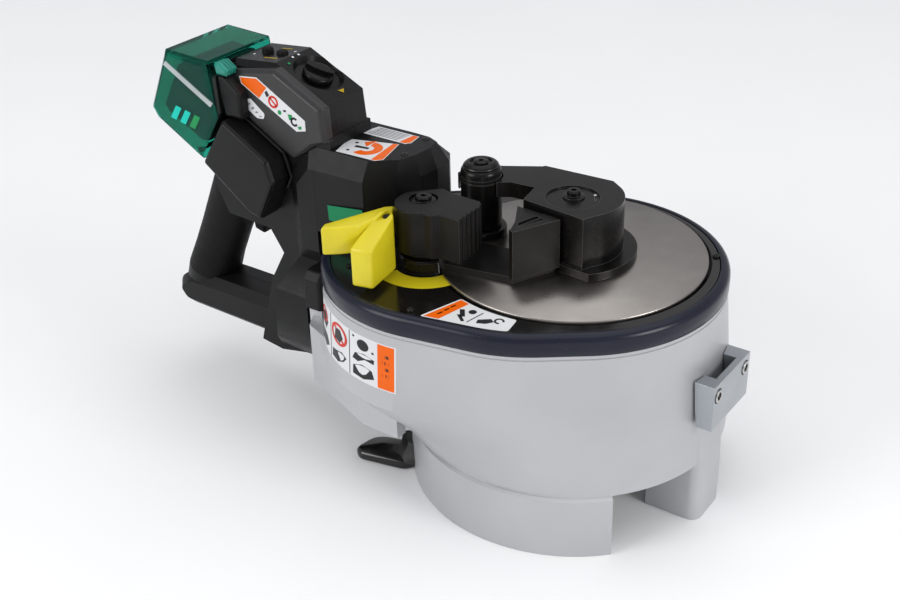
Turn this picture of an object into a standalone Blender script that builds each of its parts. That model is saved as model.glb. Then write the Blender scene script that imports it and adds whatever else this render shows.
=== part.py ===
"""Cordless rebar bender: bench model, one object per physical piece.

Lengths in this file are millimetres.  Machine coordinates: the turntable's
axis is the Z axis, +X points to the front bracket, +Y to the far side, and
Z = 0 is the floor.  The part frame moves that origin to the bottom centre
of the whole machine's box.
"""
import math

import bmesh
import bpy
from mathutils import Matrix, Vector

# ------------------------------------------------------------ driving sizes
MM = 0.001
FRAME_SHIFT = (96.15, 9.045, 0.0)   # turntable axis seen from the part's origin
GAP = 0.3                         # clearance between touching pieces

DECK = 150.0                      # height of the turntable's top face
CASE_TOP = DECK - 14.0
DISC_R = 81.0
HULL = ((2.0, -2.0, 92.0), (-20.0, -18.0, 92.0), (-58.0, -30.0, 87.0))
ROUND_STEPS = 64
WALL = 5.0

BASE_R = 101.0
BASE_INNER_R = 92.0
BASE_TOP = 40.0
FLOOR_LOW = 44.0
FLOOR_TOP = 50.0
BELLY_Z = 84.0                    # where the case wall turns in to the base
DRAFT = 2.5
SEAT_A = 74.0                     # bearing seat of the first layshaft

RIM_W = 5.0
BEARING_IN = 40.0
BEARING_OUT = 52.0
SHAFT_R = 18.0

MOTOR = (-118.0, -30.0)
LAY_A = (-95.0, -58.0)            # first layshaft
LAY_B = (-68.6, -25.0)            # second layshaft
PIVOT = (-68.5, -55.7)            # reaction block's pivot
ROLLER = (-61.5, -6.0)            # bending roller
BRACKET_FRONT = 107.5
BRACKET_SPAN = (-22.0, 26.0, 73.0, 103.0)
BRACKET_BOLTS = ((-16.0, 94.8), (20.0, 94.8))
LEG_HALF = 17.0

CONTROL = [(-214.0, 212.0), (-214.0, 248.0), (-181.0, 251.0), (-141.0, 232.0), (-139.0, 212.0)]
CONTROL_NEAR = -54.0
CONTROL_FAR = -14.0
DIAL_AT = (-163.0, -32.0, 242.45)
DIAL_TILT = math.atan2(19.0, 40.0)
BUTTONS = ((-202.0, -34.0), (-190.0, -34.0))
TRIGGER = [(-227.0, 152.0), (-231.0, 137.0), (-229.0, 119.5), (-221.0, 117.5), (-216.0, 134.0), (-214.0, 152.0)]
TRIGGER_PIN = (-219.0, 147.0)
HINGE_PIN = (-236.5, 188.5)       # battery cover's hinge
LATCH_AT = (-218.0, -62.0, 249.5)
MID = -30.0                       # plane between the two housing halves
BODY_NEAR = -54.0
BODY_FAR = -6.0
BOX_NEAR = -72.0
COVER_FAR = -10.0


# ----------------------------------------------------------------- helpers
def clear_scene():
    for obj in list(bpy.data.objects):
        bpy.data.objects.remove(obj, do_unlink=True)


MATERIALS = {
    "silver": ((0.46, 0.47, 0.48), 0.42, 0.65),
    "navy": ((0.02, 0.023, 0.035), 0.30, 0.2),
    "gloss_black": ((0.012, 0.012, 0.013), 0.16, 0.1),
    "satin_steel": ((0.42, 0.40, 0.38), 0.35, 1.0),
    "black_oxide": ((0.022, 0.020, 0.019), 0.33, 0.7),
    "bright_steel": ((0.60, 0.60, 0.60), 0.25, 1.0),
    "zinc": ((0.50, 0.53, 0.57), 0.35, 0.9),
    "charcoal": ((0.018, 0.018, 0.019), 0.45, 0.0),
    "rubber": ((0.010, 0.010, 0.010), 0.75, 0.0),
    "yellow": ((0.85, 0.70, 0.02), 0.35, 0.0),
    "green": ((0.01, 0.30, 0.20), 0.10, 0.0),
    "copper": ((0.60, 0.25, 0.12), 0.35, 0.9),
    "board": ((0.02, 0.16, 0.06), 0.50, 0.0),
    "brass": ((0.65, 0.48, 0.20), 0.35, 1.0),
}


def material(name):
    """One Principled material for each finish."""
    mat = bpy.data.materials.get(name)
    if mat is None:
        colour, roughness, metallic = MATERIALS[name]
        mat = bpy.data.materials.new(name)
        mat.use_nodes = True
        shader = mat.node_tree.nodes["Principled BSDF"]
        shader.inputs["Base Color"].default_value = (*colour, 1.0)
        shader.inputs["Roughness"].default_value = roughness
        shader.inputs["Metallic"].default_value = metallic
    return mat


def make(name, bm, finish, at=(0.0, 0.0, 0.0), smooth=True):
    """Turn a bmesh in machine millimetres into a named object whose origin is at."""
    bmesh.ops.recalc_face_normals(bm, faces=bm.faces)
    origin = Vector(at)
    for vert in bm.verts:
        vert.co = (vert.co - origin) * MM
    mesh = bpy.data.meshes.new(name)
    bm.to_mesh(mesh)
    bm.free()
    if smooth:
        mesh.shade_smooth()
        mesh.set_sharp_from_angle(angle=math.radians(35))
    obj = bpy.data.objects.new(name, mesh)
    obj.location = (origin + Vector(FRAME_SHIFT)) * MM
    obj.data.materials.append(material(finish))
    bpy.context.scene.collection.objects.link(obj)
    return obj


def loft(bm, rings, closed=False):
    """Skin a list of equally long rings; the ends get flat caps unless closed."""
    made = [[bm.verts.new(p) for p in ring] for ring in rings]
    count = len(made[0])
    pairs = list(zip(made, made[1:]))
    if closed:
        pairs.append((made[-1], made[0]))
    for low, high in pairs:
        for i in range(count):
            j = (i + 1) % count
            bm.faces.new((low[i], low[j], high[j], high[i]))
    if not closed:
        bm.faces.new(made[0])
        bm.faces.new(made[-1])


def plate(bm, outline, z_low, z_high):
    """Upright prism over a plan outline."""
    loft(bm, [[(x, y, z) for x, y in outline] for z in (z_low, z_high)])


def side_plate(bm, outline, y_low, y_high, edge=0.0):
    """Prism across the machine over a side outline, with chamfered long edges."""
    if edge <= 0.0:
        loft(bm, [[(x, y, z) for x, z in outline] for y in (y_low, y_high)])
        return
    small = inset(outline, edge)
    loft(bm, [[(x, y_low, z) for x, z in small],
              [(x, y_low + edge, z) for x, z in outline],
              [(x, y_high - edge, z) for x, z in outline],
              [(x, y_high, z) for x, z in small]])


def area(outline):
    total = 0.0
    for (x0, y0), (x1, y1) in zip(outline, outline[1:] + outline[:1]):
        total += x0 * y1 - x1 * y0
    return total / 2.0


def inset(outline, distance):
    """Move every side of a closed outline inwards by distance."""
    turn = 1.0 if area(outline) > 0.0 else -1.0
    count = len(outline)
    result = []
    for i in range(count):
        before = Vector(outline[i - 1])
        here = Vector(outline[i])
        after = Vector(outline[(i + 1) % count])
        a = (here - before).normalized()
        b = (after - here).normalized()
        normal_a = Vector((-a.y, a.x)) * turn
        normal_b = Vector((-b.y, b.x)) * turn
        mitre = (normal_a + normal_b).normalized()
        reach = distance / max(0.35, mitre.dot(normal_a))
        result.append(tuple(here + mitre * reach))
    return result


def circle(centre, radius, steps, start=0.0):
    cx, cy = centre
    result = []
    for i in range(steps):
        angle = start + 2.0 * math.pi * i / steps
        result.append((cx + radius * math.cos(angle), cy + radius * math.sin(angle)))
    return result


def turned(bm, profile, centre=(0.0, 0.0), steps=32):
    """Spin a closed (radius, height) profile; radius 0 meets the axis."""
    cx, cy = centre
    columns = []
    for radius, z in profile:
        if radius == 0.0:
            columns.append([bm.verts.new((cx, cy, z))])
        else:
            columns.append([bm.verts.new((x, y, z)) for x, y in circle(centre, radius, steps)])
    skin_columns(bm, columns, steps)


def skin_columns(bm, columns, steps):
    for low, high in zip(columns, columns[1:] + columns[:1]):
        if len(low) == 1 and len(high) == 1:
            continue
        for i in range(steps):
            j = (i + 1) % steps
            if len(low) == 1:
                bm.faces.new((low[0], high[j], high[i]))
            elif len(high) == 1:
                bm.faces.new((low[i], low[j], high[0]))
            else:
                bm.faces.new((low[i], low[j], high[j], high[i]))


def rod(bm, centre, radius, z_low, z_high, steps=20):
    plate(bm, circle(centre, radius, steps), z_low, z_high)


def cross_rod(bm, x, z, radius, y_low, y_high, steps=16):
    """Rod lying across the machine."""
    ring = circle((x, z), radius, steps)
    loft(bm, [[(px, y, pz) for px, pz in ring] for y in (y_low, y_high)])


def lengthwise_rod(bm, y, z, radius, x_low, x_high, steps=12):
    """Rod lying along the machine."""
    ring = circle((y, z), radius, steps)
    loft(bm, [[(x, py, pz) for py, pz in ring] for x in (x_low, x_high)])


def hull_radius(angle):
    """Distance from the turntable axis to the case outline in one direction."""
    ux, uy = math.cos(angle), math.sin(angle)
    best = 0.0
    steps = 24
    for (xa, ya, ra), (xb, yb, rb) in zip(HULL, HULL[1:]):
        for k in range(steps + 1):
            t = k / steps
            cx, cy = xa + (xb - xa) * t, ya + (yb - ya) * t
            radius = ra + (rb - ra) * t
            along = cx * ux + cy * uy
            across = cx * uy - cy * ux
            if abs(across) < radius:
                best = max(best, along + math.sqrt(radius * radius - across * across))
    return best


def hull_ring(rule, z, steps=ROUND_STEPS):
    """Ring at height z whose radius is rule(outline radius)."""
    ring = []
    for i in range(steps):
        angle = 2.0 * math.pi * i / steps
        radius = rule(hull_radius(angle))
        ring.append((radius * math.cos(angle), radius * math.sin(angle), z))
    return ring


def hull_solid(bm, profile, steps=ROUND_STEPS):
    """Closed shell from (rule, z) steps; a rule of None is a point on the axis."""
    columns = []
    for rule, z in profile:
        if rule is None:
            columns.append([bm.verts.new((0.0, 0.0, z))])
        else:
            columns.append([bm.verts.new(p) for p in hull_ring(rule, z, steps)])
    skin_columns(bm, columns, steps)


def boolean(obj, tool, operation):
    modifier = obj.modifiers.new(operation.lower(), "BOOLEAN")
    modifier.operation = operation
    modifier.solver = "EXACT"
    modifier.object = tool
    tool.hide_render = True
    tool.display_type = "WIRE"
    return obj


TOOL_COUNT = [0]


def tool_from(build):
    """Make a guide object for a Boolean from a function that fills a bmesh."""
    bm = bmesh.new()
    build(bm)
    TOOL_COUNT[0] += 1
    return make("guide_%02d" % TOOL_COUNT[0], bm, "silver", smooth=False)


def cut(obj, build):
    return boolean(obj, tool_from(build), "DIFFERENCE")


def add(obj, build):
    return boolean(obj, tool_from(build), "UNION")


def gear_outline(centre, tip, root, teeth):
    cx, cy = centre
    points = []
    for i in range(teeth):
        for share, radius in ((-0.34, root), (-0.17, tip), (0.17, tip), (0.34, root)):
            angle = 2.0 * math.pi * (i + share) / teeth
            points.append((cx + radius * math.cos(angle), cy + radius * math.sin(angle)))
    return points


def spur(name, centre, tip, teeth, z_low, z_high, bore, depth=2.4, at=None):
    """Spur gear with a plain bore."""
    bm = bmesh.new()
    plate(bm, gear_outline(centre, tip, tip - depth, teeth), z_low, z_high)
    gear = make(name, bm, "bright_steel", at or (*centre, 0.0), smooth=False)
    if bore > 0.0:
        cut(gear, lambda b: rod(b, centre, bore, z_low - 1.0, z_high + 1.0, 20))
    return gear


def ring_piece(name, centre, inner, outer, z_low, z_high, finish, steps=28, at=None):
    bm = bmesh.new()
    profile = ((inner, z_low), (outer, z_low), (outer, z_high), (inner, z_high))
    turned(bm, profile, centre, steps)
    return make(name, bm, finish, at or (0.0, 0.0, 0.0))


# ------------------------------------------------------------ case and base
def belly(share):
    """Rule between the drafted wall (0) and the base's neck (1)."""
    neck = BASE_R - 2.0
    return lambda r: (max(r + DRAFT, neck - 1.5)) * (1.0 - share) + neck * share


def gear_case():
    bm = bmesh.new()
    wall_low = BELLY_Z + 2.0
    hull_solid(bm, (
        (lambda r: BASE_INNER_R, 0.0),
        (lambda r: BASE_R, 0.0),
        (lambda r: BASE_R, BASE_TOP),
        (lambda r: BASE_R - 2.0, BASE_TOP + 1.5),
        (belly(0.9), BASE_TOP + 4.0),
        (belly(0.62), 60.0),
        (belly(0.22), 74.0),
        (belly(0.0), BELLY_Z),
        (lambda r: r, CASE_TOP),
        (lambda r: r - WALL, CASE_TOP),
        (lambda r: r + DRAFT - WALL, wall_low),
        (lambda r: belly(0.62)(r) - WALL - 2.0, 62.0),
        (lambda r: BASE_INNER_R, FLOOR_TOP),
        (None, FLOOR_TOP),
        (None, FLOOR_LOW),
        (lambda r: BASE_INNER_R, FLOOR_LOW)))
    case = make("gear_case", bm, "silver")
    lug = [(-56.0, -107.0), (-84.0, -106.0), (-141.0, -84.0), (-149.0, -70.0), (-149.0, -50.0),
           (-132.0, -50.0), (-125.0, -76.0), (-84.0, -97.0), (-56.0, -99.0)]
    add(case, lambda b: plate(b, lug, 55.0, 96.0))
    flange = [(-149.0, -74.0), (-149.0, 8.0), (-139.0, 8.0), (-139.0, -74.0)]
    add(case, lambda b: plate(b, flange, 70.0, 120.0))
    add(case, lambda b: rod(b, LAY_A, 12.0, 58.0, SEAT_A, 24))
    for side in (-1.0, 1.0):
        gap = [(48.0, LEG_HALF * side), (118.0, LEG_HALF * side), (118.0, 117.0 * side), (48.0, 47.0 * side)]
        cut(case, lambda b, gap=gap: plate(b, gap, -1.0, FLOOR_LOW - 2.0))
    leg = [(66.0, -LEG_HALF), (97.5, -LEG_HALF), (100.0, -12.0), (100.0, 12.0), (97.5, LEG_HALF), (66.0, LEG_HALF)]
    add(case, lambda b: plate(b, leg, 0.0, FLOOR_LOW + 2.0))
    return case


def rim_ring():
    bm = bmesh.new()
    hull_solid(bm, (
        (lambda r: r - RIM_W, CASE_TOP + GAP),
        (lambda r: r + 0.6, CASE_TOP + GAP),
        (lambda r: r + 0.9, DECK - 7.0),
        (lambda r: r - 0.2, DECK - 3.2),
        (lambda r: r - 2.0, DECK - 1.2),
        (lambda r: r - RIM_W, DECK - 0.8)))
    return make("rim_ring", bm, "navy")


def top_cover():
    bm = bmesh.new()
    edge = RIM_W + GAP
    hull_solid(bm, (
        (lambda r: BEARING_OUT + GAP, 132.0),
        (lambda r: 84.0, 132.0),
        (lambda r: 84.0, 142.0),
        (lambda r: r - edge, 142.0),
        (lambda r: r - edge, DECK - 1.5),
        (lambda r: DISC_R + 1.4, DECK - 1.5),
        (lambda r: DISC_R + 1.4, 138.0),
        (lambda r: BEARING_OUT + GAP, 138.0)))
    cover = make("top_cover", bm, "gloss_black")
    cut(cover, lambda b: rod(b, MOTOR, 14.0, 120.0, DECK + 5.0, 20))
    return cover


SCREWS = ((73.5, 43.5), (-42.0, -106.5), (-104.0, -84.0), (-84.0, 42.0))


def cover_screws():
    low = DECK - 1.2
    for number, centre in enumerate(SCREWS, 1):
        bm = bmesh.new()
        turned(bm, ((0.0, low), (2.2, low), (2.2, low + 0.6), (1.7, low + 1.2), (0.0, low + 1.2)), centre, 12)
        make("cover_screw_%d" % number, bm, "black_oxide")


def foot_pad():
    bm = bmesh.new()
    outline = [(-74.0, -60.0), (-92.0, -50.0), (-114.0, -58.0), (-117.0, -76.0), (-111.0, -80.0), (-78.0, -73.0)]
    low = [(x, y, 0.0) for x, y in outline]
    high = [(x, y, 7.0) for x, y in inset(outline, 1.6)]
    loft(bm, [low, [(x, y, 4.0) for x, y in outline], high])
    foot = make("foot_pad", bm, "rubber")
    neck = [(-70.0, -71.0), (-86.0, -52.0), (-94.0, -54.0), (-92.0, -66.0), (-78.0, -72.0)]
    add(foot, lambda b: plate(b, neck, 5.0, 20.0))
    cut(foot, lambda b: rod(b, (0.0, 0.0), BASE_R + GAP, -2.0, 40.0, 96))
    return foot


def front_bracket():
    """Hook bracket bolted on the case wall, open from above between wall and bar."""
    near, far, low, high = BRACKET_SPAN
    outline = [(near, low), (far, low), (far, high), (near, high)]
    bm = bmesh.new()
    loft(bm, [[(x, y, z) for y, z in outline] for x in (90.0, BRACKET_FRONT)])
    bracket = make("front_bracket", bm, "zinc", smooth=False)
    cut(bracket, lambda b: hull_solid(b, ((None, 60.0), (lambda r: r + 7.6, 60.0), (lambda r: r + 4.4, 84.0),
                                          (lambda r: r + 2.4, 110.0), (None, 110.0))))
    slot = [(80.0, near + 10.0), (103.5, near + 10.0), (103.5, far - 11.0), (80.0, far - 11.0)]
    cut(bracket, lambda b: plate(b, slot, low + 6.0, 110.0))
    for y, z in BRACKET_BOLTS:
        cut(bracket, lambda b, y=y, z=z: lengthwise_rod(b, y, z, 2.3, 98.0, 112.0))
        cut(bracket, lambda b, y=y, z=z: lengthwise_rod(b, y, z, 4.6, BRACKET_FRONT - 2.2, 112.0, 16))
    return bracket


def bracket_bolts():
    """Socket-head bolts that lie along the machine."""
    steps = 16
    face = BRACKET_FRONT
    profile = ((0.0, 99.5), (2.0, 99.5), (2.0, face - 1.9), (4.2, face - 1.9), (4.2, face + 0.8), (3.6, face + 1.2),
               (2.0, face + 1.2), (2.0, face - 1.0), (0.0, face - 1.0))
    for number, (y, z) in enumerate(BRACKET_BOLTS, 1):
        bm = bmesh.new()
        columns = []
        for radius, x in profile:
            if radius == 0.0:
                columns.append([bm.verts.new((x, y, z))])
            else:
                columns.append([bm.verts.new((x, py, pz)) for py, pz in circle((y, z), radius, steps)])
        skin_columns(bm, columns, steps)
        make("bracket_bolt_%d" % number, bm, "bright_steel")


# --------------------------------------------------------------- turntable
def turntable_disc():
    bm = bmesh.new()
    turned(bm, ((0.0, 130.0), (BEARING_IN - GAP, 130.0), (BEARING_IN - GAP, 143.4), (80.2, 143.4),
                (DISC_R, 144.2), (DISC_R, DECK - 0.6), (DISC_R - 0.6, DECK), (0.0, DECK)), steps=72)
    return make("turntable_disc", bm, "satin_steel")


def turntable_shaft():
    bm = bmesh.new()
    turned(bm, ((0.0, FLOOR_TOP + 2.0), (SHAFT_R - 1.0, FLOOR_TOP + 2.0), (SHAFT_R, FLOOR_TOP + 3.0),
                (SHAFT_R, 130.0 - GAP), (0.0, 130.0 - GAP)), steps=32)
    return make("turntable_shaft", bm, "bright_steel")


BOSS_TOP = DECK + 38.0
FLANGE_TOP = DECK + 5.5


def arc(centre, radius, start, stop, steps):
    """Points on an arc; angles in degrees."""
    cx, cy = centre
    result = []
    for i in range(steps + 1):
        angle = math.radians(start + (stop - start) * i / steps)
        result.append((cx + radius * math.cos(angle), cy + radius * math.sin(angle)))
    return result


def forming_boss():
    """Centre former with its flange and the bridge arm that holds the roller."""
    bm = bmesh.new()
    block = arc((0.0, 0.0), 30.0, -38.0, 52.0, 10)
    block += [(10.0, 29.5), (-36.0, 27.0), (-41.0, 20.0), (-41.0, 9.0), (-25.0, -3.0), (-22.0, -20.5), (21.0, -25.0)]
    plate(bm, block, FLANGE_TOP - 1.0, BOSS_TOP)
    boss = make("forming_boss", bm, "black_oxide")
    flange = arc((0.0, 0.0), 38.5, -46.0, 130.0, 16)
    flange += [(-24.0, 20.0), (-24.0, -20.0), (4.0, -25.5)]
    add(boss, lambda b: plate(b, flange, DECK + GAP, FLANGE_TOP))
    bridge = [(-36.0, 26.0), (-60.0, 12.0), (-76.0, 4.0), (-76.0, -10.0), (-70.0, -14.0), (-56.0, -14.0),
              (-41.0, -4.5), (-24.0, -3.0), (-24.0, 20.0)]
    add(boss, lambda b: plate(b, bridge, BOSS_TOP - 10.0, BOSS_TOP))
    cut(boss, lambda b: rod(b, ROLLER, 13.6, DECK, DECK + 70.0, 32))
    under = [(-80.0, -20.0), (-25.5, -20.0), (-25.5, 40.0), (-80.0, 40.0)]
    cut(boss, lambda b: plate(b, under, DECK - 1.0, BOSS_TOP - 10.0))
    cut(boss, lambda b: turned(b, ((8.5, BOSS_TOP - 2.0), (15.5, BOSS_TOP - 2.0), (15.5, BOSS_TOP + 3.0),
                                   (8.5, BOSS_TOP + 3.0)), steps=28))
    cut(boss, lambda b: rod(b, (0.0, 0.0), 5.0, BOSS_TOP - 14.0, BOSS_TOP + 3.0, 16))
    return boss


def boss_bolt():
    bm = bmesh.new()
    turned(bm, ((0.0, BOSS_TOP - 13.0), (4.6, BOSS_TOP - 13.0), (4.6, BOSS_TOP + 1.0), (6.6, BOSS_TOP + 1.0),
                (6.6, BOSS_TOP + 2.6), (5.6, BOSS_TOP + 3.4), (0.0, BOSS_TOP + 3.4)), steps=20)
    return make("boss_bolt", bm, "black_oxide")


def carrier_plate():
    """Low plate with the upright V rib that turns beside the former."""
    bm = bmesh.new()
    outline = [(3.5, -26.2), (-9.0, -53.0), (-14.0, -52.6), (-52.0, -59.5), (-58.0, -48.0), (-48.0, -24.0),
               (-26.0, -22.0), (-22.6, -24.2)]
    plate(bm, outline, DECK + GAP, DECK + 4.0)
    carrier = make("carrier_plate", bm, "black_oxide")
    rib = [(6.5, -26.0), (-8.0, -54.0), (-11.5, -52.4), (-2.0, -31.0), (-6.0, -24.4)]
    add(carrier, lambda b: plate(b, rib, DECK + 3.5, DECK + 34.5))
    gusset = [(-2.0, -25.4), (-10.8, -52.0), (-14.0, -42.0), (-24.0, -23.8)]
    add(carrier, lambda b: plate(b, gusset, DECK + 30.0, DECK + 34.5))
    return carrier


def roller_pin():
    bm = bmesh.new()
    turned(bm, ((0.0, DECK + GAP), (15.6, DECK + GAP), (15.6, DECK + 4.5), (13.0, DECK + 5.5), (8.0, DECK + 5.5),
                (8.0, DECK + 45.0), (0.0, DECK + 45.0)), ROLLER, 32)
    return make("roller_pin", bm, "black_oxide", (*ROLLER, 0.0))


def bending_roller():
    bm = bmesh.new()
    top = DECK + 42.0
    turned(bm, ((8.0 + GAP, DECK + 6.0), (12.6, DECK + 6.0), (12.6, top - 5.0), (11.9, top - 4.2), (11.9, top - 3.2),
                (12.6, top - 2.4), (12.4, top + 1.0), (11.6, top + 2.6), (8.0 + GAP, top + 2.6)), ROLLER, 32)
    return make("bending_roller", bm, "black_oxide", (*ROLLER, 0.0))


def roller_cap():
    bm = bmesh.new()
    low = DECK + 45.0 + GAP
    turned(bm, ((0.0, low), (11.2, low), (10.4, low + 1.4), (8.4, low + 2.2), (6.2, low + 2.2), (6.2, low + 1.0),
                (4.4, low + 1.0), (4.4, low + 3.0), (0.0, low + 3.0)), ROLLER, 28)
    return make("roller_cap", bm, "black_oxide", (*ROLLER, 0.0))


# ----------------------------------------------------------- reaction block
BLOCK_TOP = DECK + 41.0
BLOCK_LOW = DECK + 13.0


def reaction_block():
    bm = bmesh.new()
    outline = [(-66.7, -38.5), (-58.2, -41.0), (-38.5, -41.4), (-35.6, -44.1)]
    for i in range(5):
        y = -46.5 - 4.4 * i
        outline += [(-35.4, y), (-34.2, y - 1.0), (-34.0, y - 2.6), (-35.3, y - 3.4)]
    outline += [(-33.6, -69.2), (-47.7, -68.8), (-50.9, -72.6), (-56.8, -75.5), (-65.4, -76.0), (-75.2, -69.0),
                (-81.5, -58.0), (-79.0, -45.0), (-73.0, -40.0)]
    plate(bm, outline, BLOCK_LOW, BLOCK_TOP)
    block = make("reaction_block", bm, "black_oxide", (*PIVOT, 0.0))
    cut(block, lambda b: rod(b, PIVOT, 8.4, BLOCK_LOW - 2.0, BLOCK_TOP + 2.0, 24))
    return block


def pivot_pin():
    bm = bmesh.new()
    turned(bm, ((0.0, DECK - 1.2), (16.0, DECK - 1.2), (16.0, DECK + 6.5), (14.0, DECK + 8.0), (12.0, BLOCK_LOW - GAP),
                (8.0, BLOCK_LOW - GAP), (8.0, BLOCK_TOP - 2.0), (0.0, BLOCK_TOP - 2.0)), PIVOT, 28)
    pin = make("pivot_pin", bm, "black_oxide", (*PIVOT, 0.0))
    cut(pin, lambda b: rod(b, (0.0, 0.0), DISC_R + 0.9, DECK - 4.0, DECK + 12.6, 96))
    return pin


def pivot_bolt():
    bm = bmesh.new()
    low = BLOCK_TOP - 1.7
    turned(bm, ((0.0, low), (7.2, low), (7.2, low + 1.2), (5.0, low + 1.2), (5.0, low + 3.2), (4.2, low + 4.0),
                (0.0, low + 4.0)), PIVOT, 20)
    return make("pivot_bolt", bm, "black_oxide", (*PIVOT, 0.0))


def swing_guard():
    """Yellow guard and lever that turns with the reaction block."""
    bm = bmesh.new()
    low, near_top, top = DECK + 2.5, DECK + 27.0, DECK + 38.0
    front = [(-69.5, -105.0), (-73.5, -78.0), (-80.0, -71.5), (-85.0, -78.0), (-83.0, -108.0)]
    heights = (near_top, top, top, top, near_top)
    lows = [(x, y, low) for x, y in front]
    highs = [(x, y, z) for (x, y), z in zip(front, heights)]
    loft(bm, [lows, highs])
    guard = make("swing_guard", bm, "yellow", (*PIVOT, 0.0))
    wing = [(-82.5, -76.0), (-84.5, -96.0), (-92.0, -104.0), (-101.0, -111.0), (-103.5, -105.0), (-88.0, -68.0),
            (-83.5, -64.0), (-80.5, -71.0)]
    add(guard, lambda b: plate(b, wing, DECK + 18.5, DECK + 36.0))
    return guard


def guard_screw():
    bm = bmesh.new()
    turned(bm, ((0.0, DECK + 38.4), (3.4, DECK + 38.4), (3.0, DECK + 40.4), (0.0, DECK + 40.4)), (-79.0, -77.5), 14)
    return make("guard_screw", bm, "black_oxide", (*PIVOT, 0.0))


# ---------------------------------------------------------------- geartrain
def layshaft(name, centre, seat, gear, pinion):
    """Shaft with a big gear and a pinion, each a (tip, teeth, low, high)."""
    bm = bmesh.new()
    turned(bm, ((0.0, seat + 1.5), (5.0, seat + 1.5), (5.0, 129.5), (0.0, 129.5)), centre, 16)
    shaft = make(name, bm, "bright_steel", (*centre, 0.0))
    for tip, teeth, low, high in (gear, pinion):
        add(shaft, lambda b, t=tip, n=teeth, l=low, h=high: plate(b, gear_outline(centre, t, t - 2.2, n), l, h))
    return shaft


def motor_pieces():
    x, y = MOTOR
    ring_piece("motor_stator", MOTOR, 13.6, 21.0, DECK + 6.0, DECK + 34.0, "copper", 28)
    bm = bmesh.new()
    turned(bm, ((0.0, 112.0), (4.0, 112.0), (4.0, DECK + 7.0), (13.2, DECK + 7.0), (13.2, DECK + 33.0),
                (4.0, DECK + 33.0), (4.0, DECK + 46.0), (0.0, DECK + 46.0)), MOTOR, 24)
    rotor = make("motor_rotor", bm, "bright_steel", (*MOTOR, 0.0))
    add(rotor, lambda b: plate(b, gear_outline(MOTOR, 9.0, 7.0, 12), 113.0, 127.0))
    bm = bmesh.new()
    low = DECK + 38.0
    points = []
    for i in range(11):
        for share, radius in ((-0.25, 9.0), (-0.05, 19.0), (0.12, 19.0), (0.2, 9.0)):
            angle = 2.0 * math.pi * (i + share) / 11
            points.append((x + radius * math.cos(angle), y + radius * math.sin(angle)))
    plate(bm, points, low, low + 6.0)
    fan = make("cooling_fan", bm, "charcoal", (*MOTOR, 0.0), smooth=False)
    cut(fan, lambda b: rod(b, MOTOR, 4.0 + GAP, low - 1.0, low + 8.0, 16))


def bearings():
    ring_piece("main_bearing", (0.0, 0.0), BEARING_IN, BEARING_OUT, 131.0, 138.0, "bright_steel", 40)
    ring_piece("shaft_bearing", (0.0, 0.0), SHAFT_R + GAP, 30.0, FLOOR_TOP + GAP, 62.0, "bright_steel", 32)
    ring_piece("layshaft_bearing_a", LAY_A, 5.0 + GAP, 10.0, SEAT_A + GAP, SEAT_A + 7.0, "bright_steel", 20)
    ring_piece("layshaft_bearing_b", LAY_B, 5.0 + GAP, 10.0, FLOOR_TOP + GAP, 57.0, "bright_steel", 20)


# ------------------------------------------------------------------ housing
BIG_BOX = [(-330.0, 0.0), (-100.0, 0.0), (-100.0, 300.0), (-330.0, 300.0)]


def grip_tube(bm):
    """Leaning pistol grip, an oval that runs from the bar up into the body."""
    path = ((-282.0, 58.0, 19.0, 19.5), (-277.5, 76.0, 18.0, 18.5), (-269.5, 94.0, 17.5, 16.0),
            (-260.5, 113.0, 17.5, 15.5), (-251.0, 133.0, 18.0, 15.5), (-242.5, 152.0, 18.0, 15.5))
    rings = []
    for x, z, deep, half in path:
        ring = []
        for i in range(16):
            angle = 2.0 * math.pi * (i + 0.5) / 16
            ring.append((x + deep * math.cos(angle), MID + half * math.sin(angle), z - 5.0 * math.cos(angle)))
        rings.append(ring)
    loft(bm, rings)


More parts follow.
